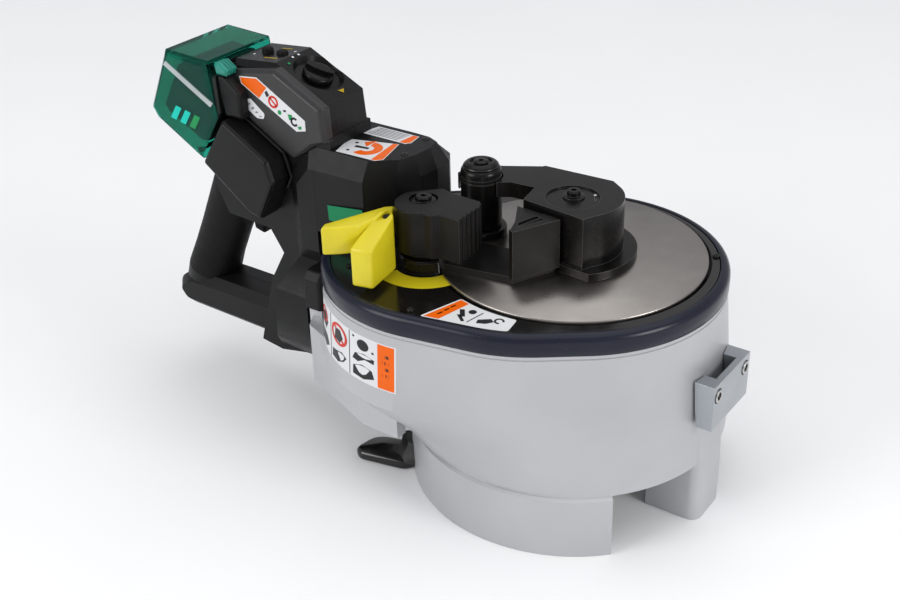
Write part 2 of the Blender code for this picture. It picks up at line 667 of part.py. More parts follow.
def handle_side(y_low, y_high, name):
    """One moulded half: body, grip and lower bar round the finger opening."""
    near = y_low < MID
    outer = y_low if near else y_high
    inner = MID - 0.15 if near else MID + 0.15
    span = sorted((outer, inner))
    bm = bmesh.new()
    front = -151.3
    body = [(-233.0, 181.5), (-214.5, 211.7), (-139.0, 211.7), (-139.0, 204.3), (front, 204.3), (front, 53.0),
            (-196.0, 43.5), (-214.0, 46.0), (-199.0, 98.0), (-186.0, 121.0), (-196.0, 136.5), (-232.0, 138.0),
            (-243.0, 160.0)]
    side_plate(bm, body, *span)
    half = make(name, bm, "charcoal", smooth=False)
    lean = 1.0 if near else -1.0
    add(half, grip_tube)
    bar = [(-293.0, 47.5), (-301.0, 58.0), (-299.0, 66.0), (-288.0, 74.0), (-262.0, 76.0), (-200.0, 76.0),
           (-200.0, 46.0)]
    add(half, lambda b: side_plate(b, bar, MID - 20.0, MID + 20.0, 5.0))
    flare = [(-198.0, 47.0), (front, 53.0), (front, 112.0), (-176.0, 112.0)]
    add(half, lambda b: side_plate(b, flare, MID - 44.0, MID + 32.0, 4.0))
    other = sorted((inner, MID + 90.0 * lean))
    cut(half, lambda b: side_plate(b, BIG_BOX, *other))
    slot = [(-238.0, 112.0), (-238.0, 138.0), (-249.0, 139.0), (-249.0, 160.0), (-208.0, 163.0), (-208.0, 112.0)]
    cut(half, lambda b: side_plate(b, slot, MID - 7.5, MID + 7.5))
    cut(half, lambda b: cross_rod(b, *TRIGGER_PIN, 1.5 + GAP, MID - 9.5, MID + 9.5, 12))
    hollow = [(-226.0, 181.0), (-212.0, 200.5), (-156.0, 200.5), (-156.0, 60.0),
              (-194.0, 51.0), (-203.0, 56.0), (-194.0, 97.0), (-180.0, 121.0), (-192.0, 142.0), (-228.0, 143.0),
              (-237.0, 160.0)]
    wall = outer + 4.0 * lean
    hollow_span = sorted((wall, MID + 3.0 * lean))
    cut(half, lambda b: side_plate(b, hollow, *hollow_span))
    if near:
        lug_span = (-48.0, -40.0)
    else:
        lug_span = (-22.0, -15.0)
        cut(half, lambda b: plate(b, [(-217.0, -14.2), (-130.0, -14.2), (-130.0, 0.0), (-217.0, 0.0)], 204.3, 215.0))
    lug = [(-227.0, 186.0), (-233.0, 181.2), (-238.5, 184.8), (-240.2, 188.5), (-238.5, 191.8), (-234.0, 192.2),
           (-227.0, 191.0)]
    add(half, lambda b: side_plate(b, lug, *lug_span))
    cut(half, lambda b: cross_rod(b, *HINGE_PIN, 1.5 + GAP, -60.0, 0.0, 12))
    return half


def motor_hood():
    """Front cap over the motor: straight skirt, sloping shoulders, flat top."""
    rear = -151.0
    top = [(rear, -54.0), (-110.0, -54.0), (-96.0, -43.0), (-91.5, -31.0), (-90.5, -18.0), (-93.0, -8.0),
           (-101.0, -4.5), (-112.0, -4.0), (rear, -4.0)]
    base = [(rear, -60.0), (-112.0, -58.5), (-97.0, -45.0), (-88.0, -32.0), (-85.5, -18.0), (-86.5, -4.0),
            (-93.0, 6.0), (-112.0, 8.0), (rear, 8.0)]
    low, shoulder, high = DECK - 0.5, DECK + 41.0, DECK + 54.0
    wall = 3.5
    bm = bmesh.new()
    loft(bm, [[(x, y, z) for x, y in ring] for ring, z in ((base, low), (base, shoulder), (top, high))])
    hood = make("motor_hood", bm, "charcoal", smooth=False)
    room = inset(base, wall)
    attic = inset(top, wall)
    levels = ((room, low - 2.0), (room, shoulder - 2.0), (attic, high - wall))
    cut(hood, lambda b: loft(b, [[(x, y, z) for x, y in ring] for ring, z in levels]))
    return hood


def control_box():
    """Box on the shoulder: switch panel on top, dial pocket in the sloping front."""
    bm = bmesh.new()
    side_plate(bm, CONTROL, CONTROL_NEAR, CONTROL_FAR, 3.0)
    box = make("control_box", bm, "charcoal", smooth=False)
    room = inset(CONTROL, 5.0)
    cut(box, lambda b: side_plate(b, room, CONTROL_NEAR + 5.0, CONTROL_FAR - 5.0))
    duct = [(-200.0, -42.0), (-160.0, -42.0), (-160.0, -24.0), (-200.0, -24.0)]
    cut(box, lambda b: plate(b, duct, 205.0, 222.0))
    cut(box, lambda b: on_slope(b, ((0.0, -3.0), (14.0, -3.0), (14.0, 6.0), (0.0, 6.0)), 24))
    cut(box, lambda b: on_slope(b, ((0.0, -20.0), (3.4, -20.0), (3.4, 4.0), (0.0, 4.0)), 16))
    for x, y in BUTTONS:
        cut(box, lambda b, x=x, y=y: rod(b, (x, y), 4.0, 236.0, 260.0, 16))
    return box


def on_slope(bm, profile, steps):
    """Spin a profile about the normal of the control box's sloping face."""
    start = len(bm.verts)
    turned(bm, profile, (0.0, 0.0), steps)
    bm.verts.ensure_lookup_table()
    tilt = Matrix.Rotation(DIAL_TILT, 4, "Y")
    for vert in list(bm.verts)[start:]:
        vert.co = tilt @ vert.co + Vector(DIAL_AT)


def angle_dial():
    bm = bmesh.new()
    on_slope(bm, ((0.0, -12.0), (3.0, -12.0), (3.0, -2.4), (9.5, -2.4), (9.0, 3.2), (8.2, 4.0), (0.0, 4.0)), 24)
    return make("angle_dial", bm, "charcoal", DIAL_AT)


def panel_buttons():
    for name, (x, y) in zip(("power_button", "mode_button"), BUTTONS):
        bm = bmesh.new()
        turned(bm, ((0.0, 240.0), (3.6, 240.0), (3.6, 251.6), (3.0, 252.2), (0.0, 252.2)), (x, y), 16)
        make(name, bm, "rubber", (x, y, 0.0))


def controller_board():
    bm = bmesh.new()
    plate(bm, [(-198.0, -46.0), (-152.0, -46.0), (-152.0, -22.0), (-198.0, -22.0)], 222.5, 224.5)
    return make("controller_board", bm, "board", smooth=False)


def trigger():
    bm = bmesh.new()
    side_plate(bm, TRIGGER, MID - 6.0, MID + 6.0, 1.2)
    piece = make("trigger", bm, "rubber", (TRIGGER_PIN[0], MID, TRIGGER_PIN[1]), smooth=False)
    cut(piece, lambda b: cross_rod(b, *TRIGGER_PIN, 1.8, MID - 8.0, MID + 8.0, 12))
    return piece


def trigger_pin():
    bm = bmesh.new()
    cross_rod(bm, *TRIGGER_PIN, 1.5, MID - 9.0, MID + 9.0, 12)
    return make("trigger_pin", bm, "bright_steel", smooth=False)


def switch_module():
    bm = bmesh.new()
    side_plate(bm, [(-248.0, 141.0), (-248.0, 158.0), (-237.0, 158.0), (-237.0, 141.0)], MID - 7.0, MID + 7.0)
    return make("switch_module", bm, "charcoal", smooth=False)


def side_cover():
    bm = bmesh.new()
    outline = [(-233.0, 181.0), (-212.0, 214.0), (-177.0, 194.0), (-172.5, 180.0), (-186.5, 152.0), (-196.0, 154.0)]
    side_plate(bm, outline, BOX_NEAR, BODY_NEAR - GAP, 2.0)
    cover = make("side_cover", bm, "charcoal", smooth=False)
    room = inset(outline, 4.0)
    cut(cover, lambda b: side_plate(b, room, BOX_NEAR + 3.5, BODY_NEAR + 2.0))
    return cover


BATTERY_COVER = [(-256.0, 252.0), (-275.0, 211.0), (-270.0, 203.0), (-233.6, 182.6), (-214.8, 214.0), (-220.0, 250.5)]


def battery_cover():
    bm = bmesh.new()
    side_plate(bm, BATTERY_COVER, BOX_NEAR, COVER_FAR, 3.0)
    cover = make("battery_cover", bm, "green", smooth=False)
    room = [(-253.0, 249.0), (-272.0, 211.0), (-268.0, 205.5), (-230.0, 182.0), (-208.0, 214.0), (-214.0, 248.0)]
    cut(cover, lambda b: side_plate(b, room, BOX_NEAR + 2.5, COVER_FAR - 2.5))
    notch = [(-243.0, 180.0), (-243.0, 194.0), (-225.0, 194.0), (-225.0, 180.0)]
    for low, high in ((-48.6, -39.4), (-22.6, -14.4)):
        cut(cover, lambda b, low=low, high=high: side_plate(b, notch, low, high))
    cut(cover, lambda b: cross_rod(b, *HINGE_PIN, 1.5 + GAP, BOX_NEAR - 2.0, COVER_FAR + 2.0, 12))
    return cover


def cover_hinge_pin():
    bm = bmesh.new()
    cross_rod(bm, *HINGE_PIN, 1.5, BOX_NEAR + 0.5, COVER_FAR - 0.5, 12)
    return make("cover_hinge_pin", bm, "bright_steel", smooth=False)


def cover_latch():
    """Green clip under the front edge of the battery cover."""
    bm = bmesh.new()
    side_plate(bm, [(-217.2, 242.2), (-218.8, 249.8), (-213.0, 251.0), (-206.5, 246.0), (-208.5, 242.2)],
               BOX_NEAR + 5.0, BOX_NEAR + 15.0, 1.0)
    return make("cover_latch", bm, "green", LATCH_AT, smooth=False)


def cover_catch():
    """Dark shoulder beside the control box that the cover's clip hooks on."""
    bm = bmesh.new()
    side_plate(bm, [(-213.8, 214.6), (-217.5, 241.0), (-211.0, 241.0), (-199.5, 232.0), (-199.5, 214.6)],
               BOX_NEAR + 6.0, CONTROL_NEAR - GAP, 2.0)
    return make("cover_catch", bm, "charcoal", smooth=False)


def terminal_block():
    """Contacts between the battery pack and the body's sloping rear face."""
    bm = bmesh.new()
    side_plate(bm, [(-225.9, 193.6), (-216.0, 209.8), (-219.8, 212.1), (-229.7, 195.9)], -44.0, -24.0)
    return make("terminal_block", bm, "charcoal", smooth=False)


def battery_pack():
    bm = bmesh.new()
    outline = [(-247.0, 240.0), (-263.0, 214.0), (-231.0, 194.4), (-217.4, 216.5), (-218.5, 236.0)]
    side_plate(bm, outline, BOX_NEAR + 6.0, COVER_FAR - 6.0, 2.0)
    return make("battery_pack", bm, "charcoal", smooth=False)


def build_all():
    gear_case()
    rim_ring()
    top_cover()
    cover_screws()
    foot_pad()
    front_bracket()
    bracket_bolts()
    turntable_disc()
    turntable_shaft()
    spur("output_gear", (0.0, 0.0), 60.5, 48, 74.0, 92.0, SHAFT_R + GAP)
    forming_boss()
    boss_bolt()
    carrier_plate()
    roller_pin()
    bending_roller()
    roller_cap()
    reaction_block()
    pivot_pin()
    pivot_bolt()
    swing_guard()
    guard_screw()
    layshaft("layshaft_a", LAY_A, SEAT_A, (26.7, 34, 117.0, 126.0), (11.0, 14, 97.0, 112.0))
    layshaft("layshaft_b", LAY_B, FLOOR_TOP, (30.8, 38, 99.0, 110.0), (12.0, 15, 72.0, 94.0))
    motor_pieces()
    bearings()
    handle_side(BODY_NEAR, MID, "housing_near")
    handle_side(MID, BODY_FAR, "housing_far")
    motor_hood()
    control_box()
    angle_dial()
    panel_buttons()
    controller_board()
    trigger()
    trigger_pin()
    switch_module()
    side_cover()
    battery_cover()
    cover_hinge_pin()
    cover_latch()
    cover_catch()
    terminal_block()
    battery_pack()


clear_scene()
build_all()
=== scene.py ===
"""Looks for the cordless rebar bender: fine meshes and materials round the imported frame.

Lengths are millimetres in machine coordinates: the turntable's axis is Z, +X points
to the front bracket, +Y to the far side, Z = 0 is the floor.  ORIGIN, read from the
frame, turns them into the row frame's metres.
"""

import math

import bmesh
import bpy
from mathutils import Matrix, Vector

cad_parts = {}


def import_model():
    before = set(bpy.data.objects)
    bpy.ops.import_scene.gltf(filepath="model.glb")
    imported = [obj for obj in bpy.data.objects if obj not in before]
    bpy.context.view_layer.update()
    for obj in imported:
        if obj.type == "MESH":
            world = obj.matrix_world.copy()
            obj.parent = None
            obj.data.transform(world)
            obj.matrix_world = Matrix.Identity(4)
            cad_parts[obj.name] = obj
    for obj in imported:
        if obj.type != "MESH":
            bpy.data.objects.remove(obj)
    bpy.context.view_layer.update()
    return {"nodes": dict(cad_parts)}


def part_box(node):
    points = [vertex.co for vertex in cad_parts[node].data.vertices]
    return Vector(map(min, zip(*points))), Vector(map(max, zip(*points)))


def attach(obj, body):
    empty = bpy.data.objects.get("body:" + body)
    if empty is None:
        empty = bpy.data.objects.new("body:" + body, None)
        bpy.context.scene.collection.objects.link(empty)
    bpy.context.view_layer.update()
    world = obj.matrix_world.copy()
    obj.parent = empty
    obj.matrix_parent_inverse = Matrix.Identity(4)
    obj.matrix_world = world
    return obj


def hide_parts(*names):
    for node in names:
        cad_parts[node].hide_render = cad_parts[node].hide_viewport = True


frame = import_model()

MM = 0.001
disc_low, disc_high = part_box("turntable_disc")
ORIGIN = Vector(((disc_low.x + disc_high.x) / 2, (disc_low.y + disc_high.y) / 2, 0))
DECK = round(disc_high.z / MM, 2)
DISC_R = round((disc_high.x - disc_low.x) / 2 / MM, 2)
CASE_TOP = DECK - 14
HULL = ((2, -2, 92), (-20, -18, 92), (-58, -30, 87))
WALL = 5
RIM_W = 5
BASE_R = 101
BASE_INNER_R = 92
BELLY_Z = 84
MOTOR = (-118, -30)
PIVOT = (-68.5, -55.7)
ROLLER = (-61.5, -6)
MID = -30
COVER_Z = DECK - 1.5


# ------------------------------------------------------------------ mesh tools
def world(point):
    return Vector(point) * MM + ORIGIN


def loft(bm, rings):
    """Skin equally long rings and close both ends with flat caps."""
    made = [[bm.verts.new(p) for p in ring] for ring in rings]
    count = len(made[0])
    for low, high in zip(made, made[1:]):
        for i in range(count):
            j = (i + 1) % count
            bm.faces.new((low[i], low[j], high[j], high[i]))
    bm.faces.new(made[0])
    bm.faces.new(made[-1])


def plate(bm, outline, z_low, z_high):
    loft(bm, [level(outline, z) for z in (z_low, z_high)])


def inset(outline, distance):
    """Move every side of a closed outline inwards by distance."""
    total = 0
    for (x0, y0), (x1, y1) in zip(outline, outline[1:] + outline[:1]):
        total += x0 * y1 - x1 * y0
    turn = 1 if total > 0 else -1
    result = []
    for i in range(len(outline)):
        here = Vector(outline[i])
        a = (here - Vector(outline[i - 1])).normalized()
        b = (Vector(outline[(i + 1) % len(outline)]) - here).normalized()
        normal_a = Vector((-a.y, a.x)) * turn
        normal_b = Vector((-b.y, b.x)) * turn
        mitre = (normal_a + normal_b).normalized()
        result.append(tuple(here + mitre * (distance / max(0.35, mitre.dot(normal_a)))))
    return result


def level(outline, z):
    """Outline seen from above, as points at one height."""
    return [(x, y, z) for x, y in outline]


def side_plate(bm, outline, y_low, y_high, edge=0, far_edge=None):
    """Prism across the machine over a side outline, with chamfered long edges."""
    far_edge = edge if far_edge is None else far_edge
    rings = []
    if edge > 0:
        rings.append([(x, y_low, z) for x, z in inset(outline, edge)])
    rings.append([(x, y_low + edge, z) for x, z in outline])
    rings.append([(x, y_high - far_edge, z) for x, z in outline])
    if far_edge > 0:
        rings.append([(x, y_high, z) for x, z in inset(outline, far_edge)])
    loft(bm, rings)


def circle(centre, radius, steps):
    cx, cy = centre
    turn = [2 * math.pi * i / steps for i in range(steps)]
    return [(cx + radius * math.cos(a), cy + radius * math.sin(a)) for a in turn]


def arc(centre, radius, start, stop, steps):
    cx, cy = centre
    turn = [math.radians(start + (stop - start) * i / steps) for i in range(steps + 1)]
    return [(cx + radius * math.cos(a), cy + radius * math.sin(a)) for a in turn]


def skin_columns(bm, columns):
    for low, high in zip(columns, columns[1:] + columns[:1]):
        steps = max(len(low), len(high))
        if len(low) == 1 and len(high) == 1:
            continue
        for i in range(steps):
            j = (i + 1) % steps
            if len(low) == 1:
                bm.faces.new((low[0], high[j], high[i]))
            elif len(high) == 1:
                bm.faces.new((low[i], low[j], high[0]))
            else:
                bm.faces.new((low[i], low[j], high[j], high[i]))


def turned(bm, profile, centre=(0, 0), steps=64):
    """Spin a closed (radius, height) profile; radius 0 meets the axis."""
    columns = []
    for radius, z in profile:
        if radius == 0:
            columns.append([bm.verts.new((*centre, z))])
        else:
            columns.append([bm.verts.new((x, y, z)) for x, y in circle(centre, radius, steps)])
    skin_columns(bm, columns)


def rod(bm, centre, radius, z_low, z_high, steps=32):
    plate(bm, circle(centre, radius, steps), z_low, z_high)


def cross_rod(bm, x, z, radius, y_low, y_high, steps=24):
    ring = circle((x, z), radius, steps)
    loft(bm, [[(px, y, pz) for px, pz in ring] for y in (y_low, y_high)])


def hull_radius(angle):
    """Distance from the turntable's axis to the case outline in one direction."""
    ux, uy = math.cos(angle), math.sin(angle)
    best = 0
    for (xa, ya, ra), (xb, yb, rb) in zip(HULL, HULL[1:]):
        for k in range(41):
            t = k / 40
            cx, cy = xa + (xb - xa) * t, ya + (yb - ya) * t
            radius = ra + (rb - ra) * t
            across = cx * uy - cy * ux
            if abs(across) < radius:
                best = max(best, cx * ux + cy * uy + math.sqrt(radius * radius - across * across))
    return best


HULL_STEPS = 192
HULL_TABLE = [hull_radius(2 * math.pi * i / HULL_STEPS) for i in range(HULL_STEPS)]


def past(by):
    """Rule for a ring that lies outside the case outline by some millimetres."""
    return lambda r: r + by


def flat(radius):
    """Rule for a round ring."""
    return lambda r: radius


def hull_solid(bm, profile):
    """Closed shell from (rule, z) steps; a rule of None is a point on the axis."""
    columns = []
    for rule, z in profile:
        if rule is None:
            columns.append([bm.verts.new((0, 0, z))])
            continue
        ring = []
        for i, outline in enumerate(HULL_TABLE):
            angle = 2 * math.pi * i / HULL_STEPS
            radius = rule(outline)
            ring.append(bm.verts.new((radius * math.cos(angle), radius * math.sin(angle), z)))
        columns.append(ring)
    skin_columns(bm, columns)


def mesh_of(bm, name):
    bmesh.ops.recalc_face_normals(bm, faces=bm.faces)
    for vert in bm.verts:
        vert.co = world(vert.co)
    mesh = bpy.data.meshes.new(name)
    bm.to_mesh(mesh)
    bm.free()
    return mesh


def object_of(mesh, name):
    obj = bpy.data.objects.new(name, mesh)
    bpy.context.scene.collection.objects.link(obj)
    return obj


def filled(fill, *given):
    """A new bmesh that fill has put its faces in."""
    bm = bmesh.new()
    fill(bm, *given)
    return bm


def carve(obj, steps):
    """Apply Boolean steps, each ("cut" or "add", function that fills a bmesh, its arguments)."""
    tools = []
    for kind, *shape in steps:
        tool = object_of(mesh_of(filled(*shape), "tool"), "tool")
        tools.append(tool)
        mod = obj.modifiers.new(kind, "BOOLEAN")
        mod.operation = "DIFFERENCE" if kind == "cut" else "UNION"
        mod.solver = "EXACT"
        mod.object = tool
    graph = bpy.context.evaluated_depsgraph_get()
    mesh = bpy.data.meshes.new_from_object(obj.evaluated_get(graph))
    obj.modifiers.clear()
    obj.data = mesh
    for tool in tools:
        bpy.data.objects.remove(tool, do_unlink=True)


def piece(name, fill, look, body, stands=(), steps=(), edge=0, segments=3, angle=33):
    """Build, carve, round the edges, give the look and put the piece on its body.

    fill is a function that fills a bmesh, or a tuple of such a function and its arguments.
    """
    bm = filled(*fill) if isinstance(fill, tuple) else filled(fill)
    obj = object_of(mesh_of(bm, name), name)
    if steps:
        carve(obj, steps)
    obj.data.name = name
    obj.data.materials.clear()
    obj.data.materials.append(LOOKS[look])
    obj.data.shade_smooth()
    if edge > 0:
        mod = obj.modifiers.new("edge", "BEVEL")
        mod.width = edge * MM
        mod.segments = segments
        mod.limit_method = "ANGLE"
        mod.angle_limit = math.radians(angle)
        mod.harden_normals = True
        mod.miter_outer = "MITER_ARC"
    else:
        obj.data.set_sharp_from_angle(angle=math.radians(angle))
    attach(obj, body)
    if stands:
        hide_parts(*stands)
    return obj


# ------------------------------------------------------------------- materials
def nodes_of(name):
    mat = bpy.data.materials.new(name)
    mat.use_nodes = True
    tree = mat.node_tree
    return mat, tree, tree.nodes["Principled BSDF"]


def link(tree, a, out, b, into):
    tree.links.new(a.outputs[out], b.inputs[into])


def coords(tree):
    """Object coordinates measured from the turntable's axis at the floor."""
    tex = tree.nodes.new("ShaderNodeTexCoord")
    shift = tree.nodes.new("ShaderNodeMapping")
    shift.inputs["Location"].default_value = -ORIGIN
    link(tree, tex, "Object", shift, "Vector")
    return shift


def noise(tree, source, scale, detail=3, rough=0.55):
    node = tree.nodes.new("ShaderNodeTexNoise")
    node.inputs["Scale"].default_value = scale
    node.inputs["Detail"].default_value = detail
    node.inputs["Roughness"].default_value = rough
    link(tree, source, "Vector", node, "Vector")
    return node


def spread(tree, source, out, low, high, a=0.3, b=0.7):
    """Map part of a 0-1 signal to a value range."""
    node = tree.nodes.new("ShaderNodeMapRange")
    node.inputs["From Min"].default_value = a
    node.inputs["From Max"].default_value = b
    node.inputs["To Min"].default_value = low
    node.inputs["To Max"].default_value = high
    link(tree, source, out, node, "Value")
    return node


def tinted(tree, source, out, dark, light, a=0.3, b=0.7):
    node = tree.nodes.new("ShaderNodeValToRGB")
    node.color_ramp.elements[0].position = a
    node.color_ramp.elements[0].color = (*dark, 1)
    node.color_ramp.elements[1].position = b
    node.color_ramp.elements[1].color = (*light, 1)
    link(tree, source, out, node, "Fac")
    return node


def bumped(tree, shader, source, out, strength, depth):
    node = tree.nodes.new("ShaderNodeBump")
    node.inputs["Strength"].default_value = strength
    node.inputs["Distance"].default_value = depth * MM
    link(tree, source, out, node, "Height")
    link(tree, node, "Normal", shader, "Normal")
    return node


def paint_edge_highlights(tree, shader, base, light, radius=0.6, low=0.12, high=0.5):
    """Painted edge highlight: lighten the colour where the rounded normal leaves the flat one, on every
    edge alike.
    """
    bevel = tree.nodes.new("ShaderNodeBevel")
    bevel.samples = 8
    bevel.inputs["Radius"].default_value = radius * MM
    geometry = tree.nodes.new("ShaderNodeNewGeometry")
    apart = tree.nodes.new("ShaderNodeVectorMath")
    apart.operation = "DISTANCE"
    link(tree, bevel, "Normal", apart, 0)
    link(tree, geometry, "Normal", apart, 1)
    amount = spread(tree, apart, "Value", 0, 0.8, low, high)
    mix = tree.nodes.new("ShaderNodeMix")
    mix.data_type = "RGBA"
    mix.inputs["B"].default_value = (*light, 1)
    tree.links.new(amount.outputs["Result"], mix.inputs["Factor"])
    tree.links.new(base.outputs["Color"], mix.inputs["A"])
    tree.links.new(mix.outputs["Result"], shader.inputs["Base Color"])


def surface(name, dark, light, rough, metallic=0, cloud=25, grain=1500, bump=0.15, depth=0.1,
            specular=0.5, highlight_colour=None):
    """Two-tone clouded colour, varied roughness and a fine grain bump; given a highlight colour, also a
    painted edge highlight.
    """
    mat, tree, shader = nodes_of(name)
    at = coords(tree)
    broad = noise(tree, at, cloud, 4)
    colour = tinted(tree, broad, "Fac", dark, light)
    # Painted edge highlight: every edge is lightened in the base colour.
    if highlight_colour:
        paint_edge_highlights(tree, shader, colour, highlight_colour)
    else:
        link(tree, colour, "Color", shader, "Base Color")
    mottle = noise(tree, at, cloud * 4, 5, 0.65)
    link(tree, spread(tree, mottle, "Fac", *rough), "Result", shader, "Roughness")
    fine = noise(tree, at, grain, 2)
    bumped(tree, shader, fine, "Fac", bump, depth)
    shader.inputs["Metallic"].default_value = metallic
    shader.inputs["Specular IOR Level"].default_value = specular
    return mat


def brushed_disc():
    """Face-turned steel: fine rings about the axis and slow dull patches."""
    mat, tree, shader = nodes_of("ground_disc")
    at = coords(tree)
    rings = tree.nodes.new("ShaderNodeTexWave")
    rings.wave_type = "RINGS"
    rings.rings_direction = "Z"
    rings.inputs["Scale"].default_value = 260
    rings.inputs["Distortion"].default_value = 0.4
    rings.inputs["Detail"].default_value = 2
    link(tree, at, "Vector", rings, "Vector")
    broad = noise(tree, at, 18, 4)
    tint = tinted(tree, broad, "Fac", (0.3, 0.275, 0.255), (0.4, 0.375, 0.35))
    link(tree, tint, "Color", shader, "Base Color")
    link(tree, spread(tree, noise(tree, at, 60, 5), "Fac", 0.26, 0.34), "Result", shader, "Roughness")
    bumped(tree, shader, rings, "Fac", 0.05, 0.02)
    shader.inputs["Metallic"].default_value = 1
    shader.inputs["Anisotropic"].default_value = 0.35
    return mat


def clear_green():
    """Tinted clear plastic with faint moulding waves."""
    mat, tree, shader = nodes_of("clear_green")
    at = coords(tree)
    broad = noise(tree, at, 22, 3)
    tint = tinted(tree, broad, "Fac", (0.018, 0.36, 0.255), (0.03, 0.43, 0.315))
    link(tree, tint, "Color", shader, "Base Color")
    link(tree, spread(tree, noise(tree, at, 80), "Fac", 0.02, 0.07), "Result", shader, "Roughness")
    bumped(tree, shader, noise(tree, at, 45, 2), "Fac", 0.05, 0.3)
    shader.inputs["Transmission Weight"].default_value = 0.93
    shader.inputs["IOR"].default_value = 1.22
    return mat


def printed(name, colour):
    """Printed vinyl: nearly even colour with a faint gloss change."""
    dark = tuple(c * 0.93 for c in colour)
    return surface(name, dark, colour, (0.28, 0.38), 0, 60, 2200, 0.04, 0.05, 0.18)


# Each surface: dark and light colour, roughness range, metallic, then the sizes of clouds
# and grain (per metre), bump strength and depth in mm, specular level, painted edge highlight colour.
LOOKS = {
    "cast": surface("cast_silver", (0.43, 0.435, 0.45), (0.49, 0.495, 0.51), (0.34, 0.44),
                    0.45, 14, 1300, 0.22, 0.12),
    "navy": surface("rim_navy", (0.0075, 0.009, 0.019), (0.0125, 0.0145, 0.027), (0.22, 0.28),
                    0, 30, 900, 0.03, 0.04, 0.26),
    "gloss": surface("gloss_black", (0.0055, 0.0048, 0.0045), (0.009, 0.008, 0.0075), (0.11, 0.19),
                     0, 40, 900, 0.05, 0.05, 0.6),
    "disc": brushed_disc(),
    # The last colour of oxide and oxide_dull is a painted edge highlight that lightens every edge.
    "oxide": surface("black_oxide", (0.0055, 0.005, 0.0048), (0.012, 0.0108, 0.01), (0.18, 0.3),
                     0.35, 45, 2400, 0.05, 0.05, 0.28, (0.1, 0.095, 0.09)),
    "oxide_dull": surface("black_oxide_dull", (0.006, 0.0056, 0.0053), (0.014, 0.013, 0.0122),
                          (0.28, 0.4), 0.3, 45, 1000, 0.07, 0.05, 0.22, (0.09, 0.085, 0.08)),
    "steel": surface("bright_steel", (0.45, 0.44, 0.43), (0.58, 0.57, 0.56), (0.18, 0.3),
                     1, 60, 1600, 0.1, 0.05),
    "zinc": surface("zinc_plate", (0.36, 0.385, 0.41), (0.45, 0.475, 0.5), (0.26, 0.4),
                    0.85, 30, 1400, 0.15, 0.08),
    "body": surface("body_plastic", (0.0048, 0.0048, 0.0052), (0.0078, 0.0078, 0.0083), (0.34, 0.46),
                    0, 30, 1900, 0.26, 0.1, 0.2),
    "grip": surface("grip_rubber", (0.004, 0.004, 0.0042), (0.0065, 0.0065, 0.0068), (0.5, 0.62),
                    0, 60, 700, 0.55, 0.25, 0.12),
    "box": surface("box_plastic", (0.0125, 0.0125, 0.0132), (0.0175, 0.0175, 0.0182), (0.32, 0.44),
                   0, 30, 1900, 0.3, 0.1, 0.5),
    "panel": surface("panel_black", (0.003, 0.003, 0.0031), (0.005, 0.005, 0.0052), (0.2, 0.32),
                     0, 50, 1200, 0.1, 0.05, 0.2),
    "yellow": surface("guard_yellow", (0.6, 0.5, 0.01), (0.7, 0.595, 0.016), (0.28, 0.4),
                      0, 30, 1000, 0.12, 0.08),
    "green": clear_green(),
    "pack": surface("pack_plastic", (0.006, 0.009, 0.008), (0.01, 0.014, 0.012), (0.4, 0.52),
                    0, 30, 1500, 0.3, 0.12),
    "strip": surface("grey_strip", (0.34, 0.38, 0.38), (0.44, 0.48, 0.48), (0.35, 0.45),
                     0, 40, 1500, 0.1, 0.05),
    "copper": surface("winding", (0.3, 0.12, 0.05), (0.45, 0.2, 0.09), (0.3, 0.45),
                      0.9, 80, 1200, 0.4, 0.3),
    "board": surface("circuit_board", (0.01, 0.08, 0.03), (0.02, 0.12, 0.05), (0.35, 0.5),
                     0, 90, 900, 0.3, 0.2),
    "white": printed("print_white", (0.72, 0.73, 0.74)),
    "orange": printed("print_orange", (0.84, 0.13, 0.004)),
    "ink": printed("print_ink", (0.02, 0.02, 0.022)),
    "grey_ink": printed("print_grey", (0.22, 0.22, 0.23)),
    "red": printed("print_red", (0.62, 0.03, 0.02)),
    "leaf": printed("print_green", (0.01, 0.27, 0.08)),
    "badge_green": printed("badge_green", (0.004, 0.22, 0.085)),
    "amber": printed("print_amber", (0.45, 0.3, 0.01)),
    "teal": printed("print_teal", (0.005, 0.56, 0.46)),
    "latch": surface("latch_green", (0.004, 0.19, 0.14), (0.008, 0.26, 0.2), (0.16, 0.26),
                     0, 40, 900, 0.08, 0.06),
}


# --------------------------------------------------------------- case and base
def belly(share):
    """Rule between the drafted wall (0) and the base's neck (1)."""
    neck = BASE_R - 2
    return lambda r: max(r + 2.5, neck - 1.5) * (1 - share) + neck * share


BELLY_STEPS = ((44, 0.9), (48, 0.84), (52, 0.76), (56, 0.69), (60, 0.61), (64, 0.5), (68, 0.39),
               (72, 0.27), (76, 0.17), (80, 0.08))
LEG_HALF = 17


def case_fill(bm):
    outside = [(belly(share), z) for z, share in BELLY_STEPS]
    hull_solid(bm, [
        (flat(BASE_INNER_R), 0), (flat(BASE_R), 0), (flat(BASE_R), 40),
        (flat(BASE_R - 2), 41.2), *outside, (belly(0), BELLY_Z),
        (past(0.2), CASE_TOP - 2.6), (past(-0.4), CASE_TOP - 2.3),
        (past(-0.4), CASE_TOP - 1.8), (past(0.1), CASE_TOP - 1.5), (past(0), CASE_TOP),
        (past(-WALL), CASE_TOP), (past(-2.5), 86), (lambda r: belly(0.62)(r) - 7, 62),
        (flat(BASE_INNER_R), 50), (None, 50), (None, 44), (flat(BASE_INNER_R), 44)])


def leg_fill(bm):
    """Rounded front leg that fades into the belly above it."""
    rings = []
    for front, z in ((100.6, 0), (100.8, 30), (100.2, 44), (98.9, 58), (96.5, 76)):
        turn = 7
        ring = [(66, -LEG_HALF)] + arc((front - turn, -LEG_HALF + turn), turn, -90, -8, 8)
        ring += arc((front - turn, LEG_HALF - turn), turn, 8, 90, 8) + [(66, LEG_HALF)]
        rings.append(level(ring, z))
    loft(bm, rings)


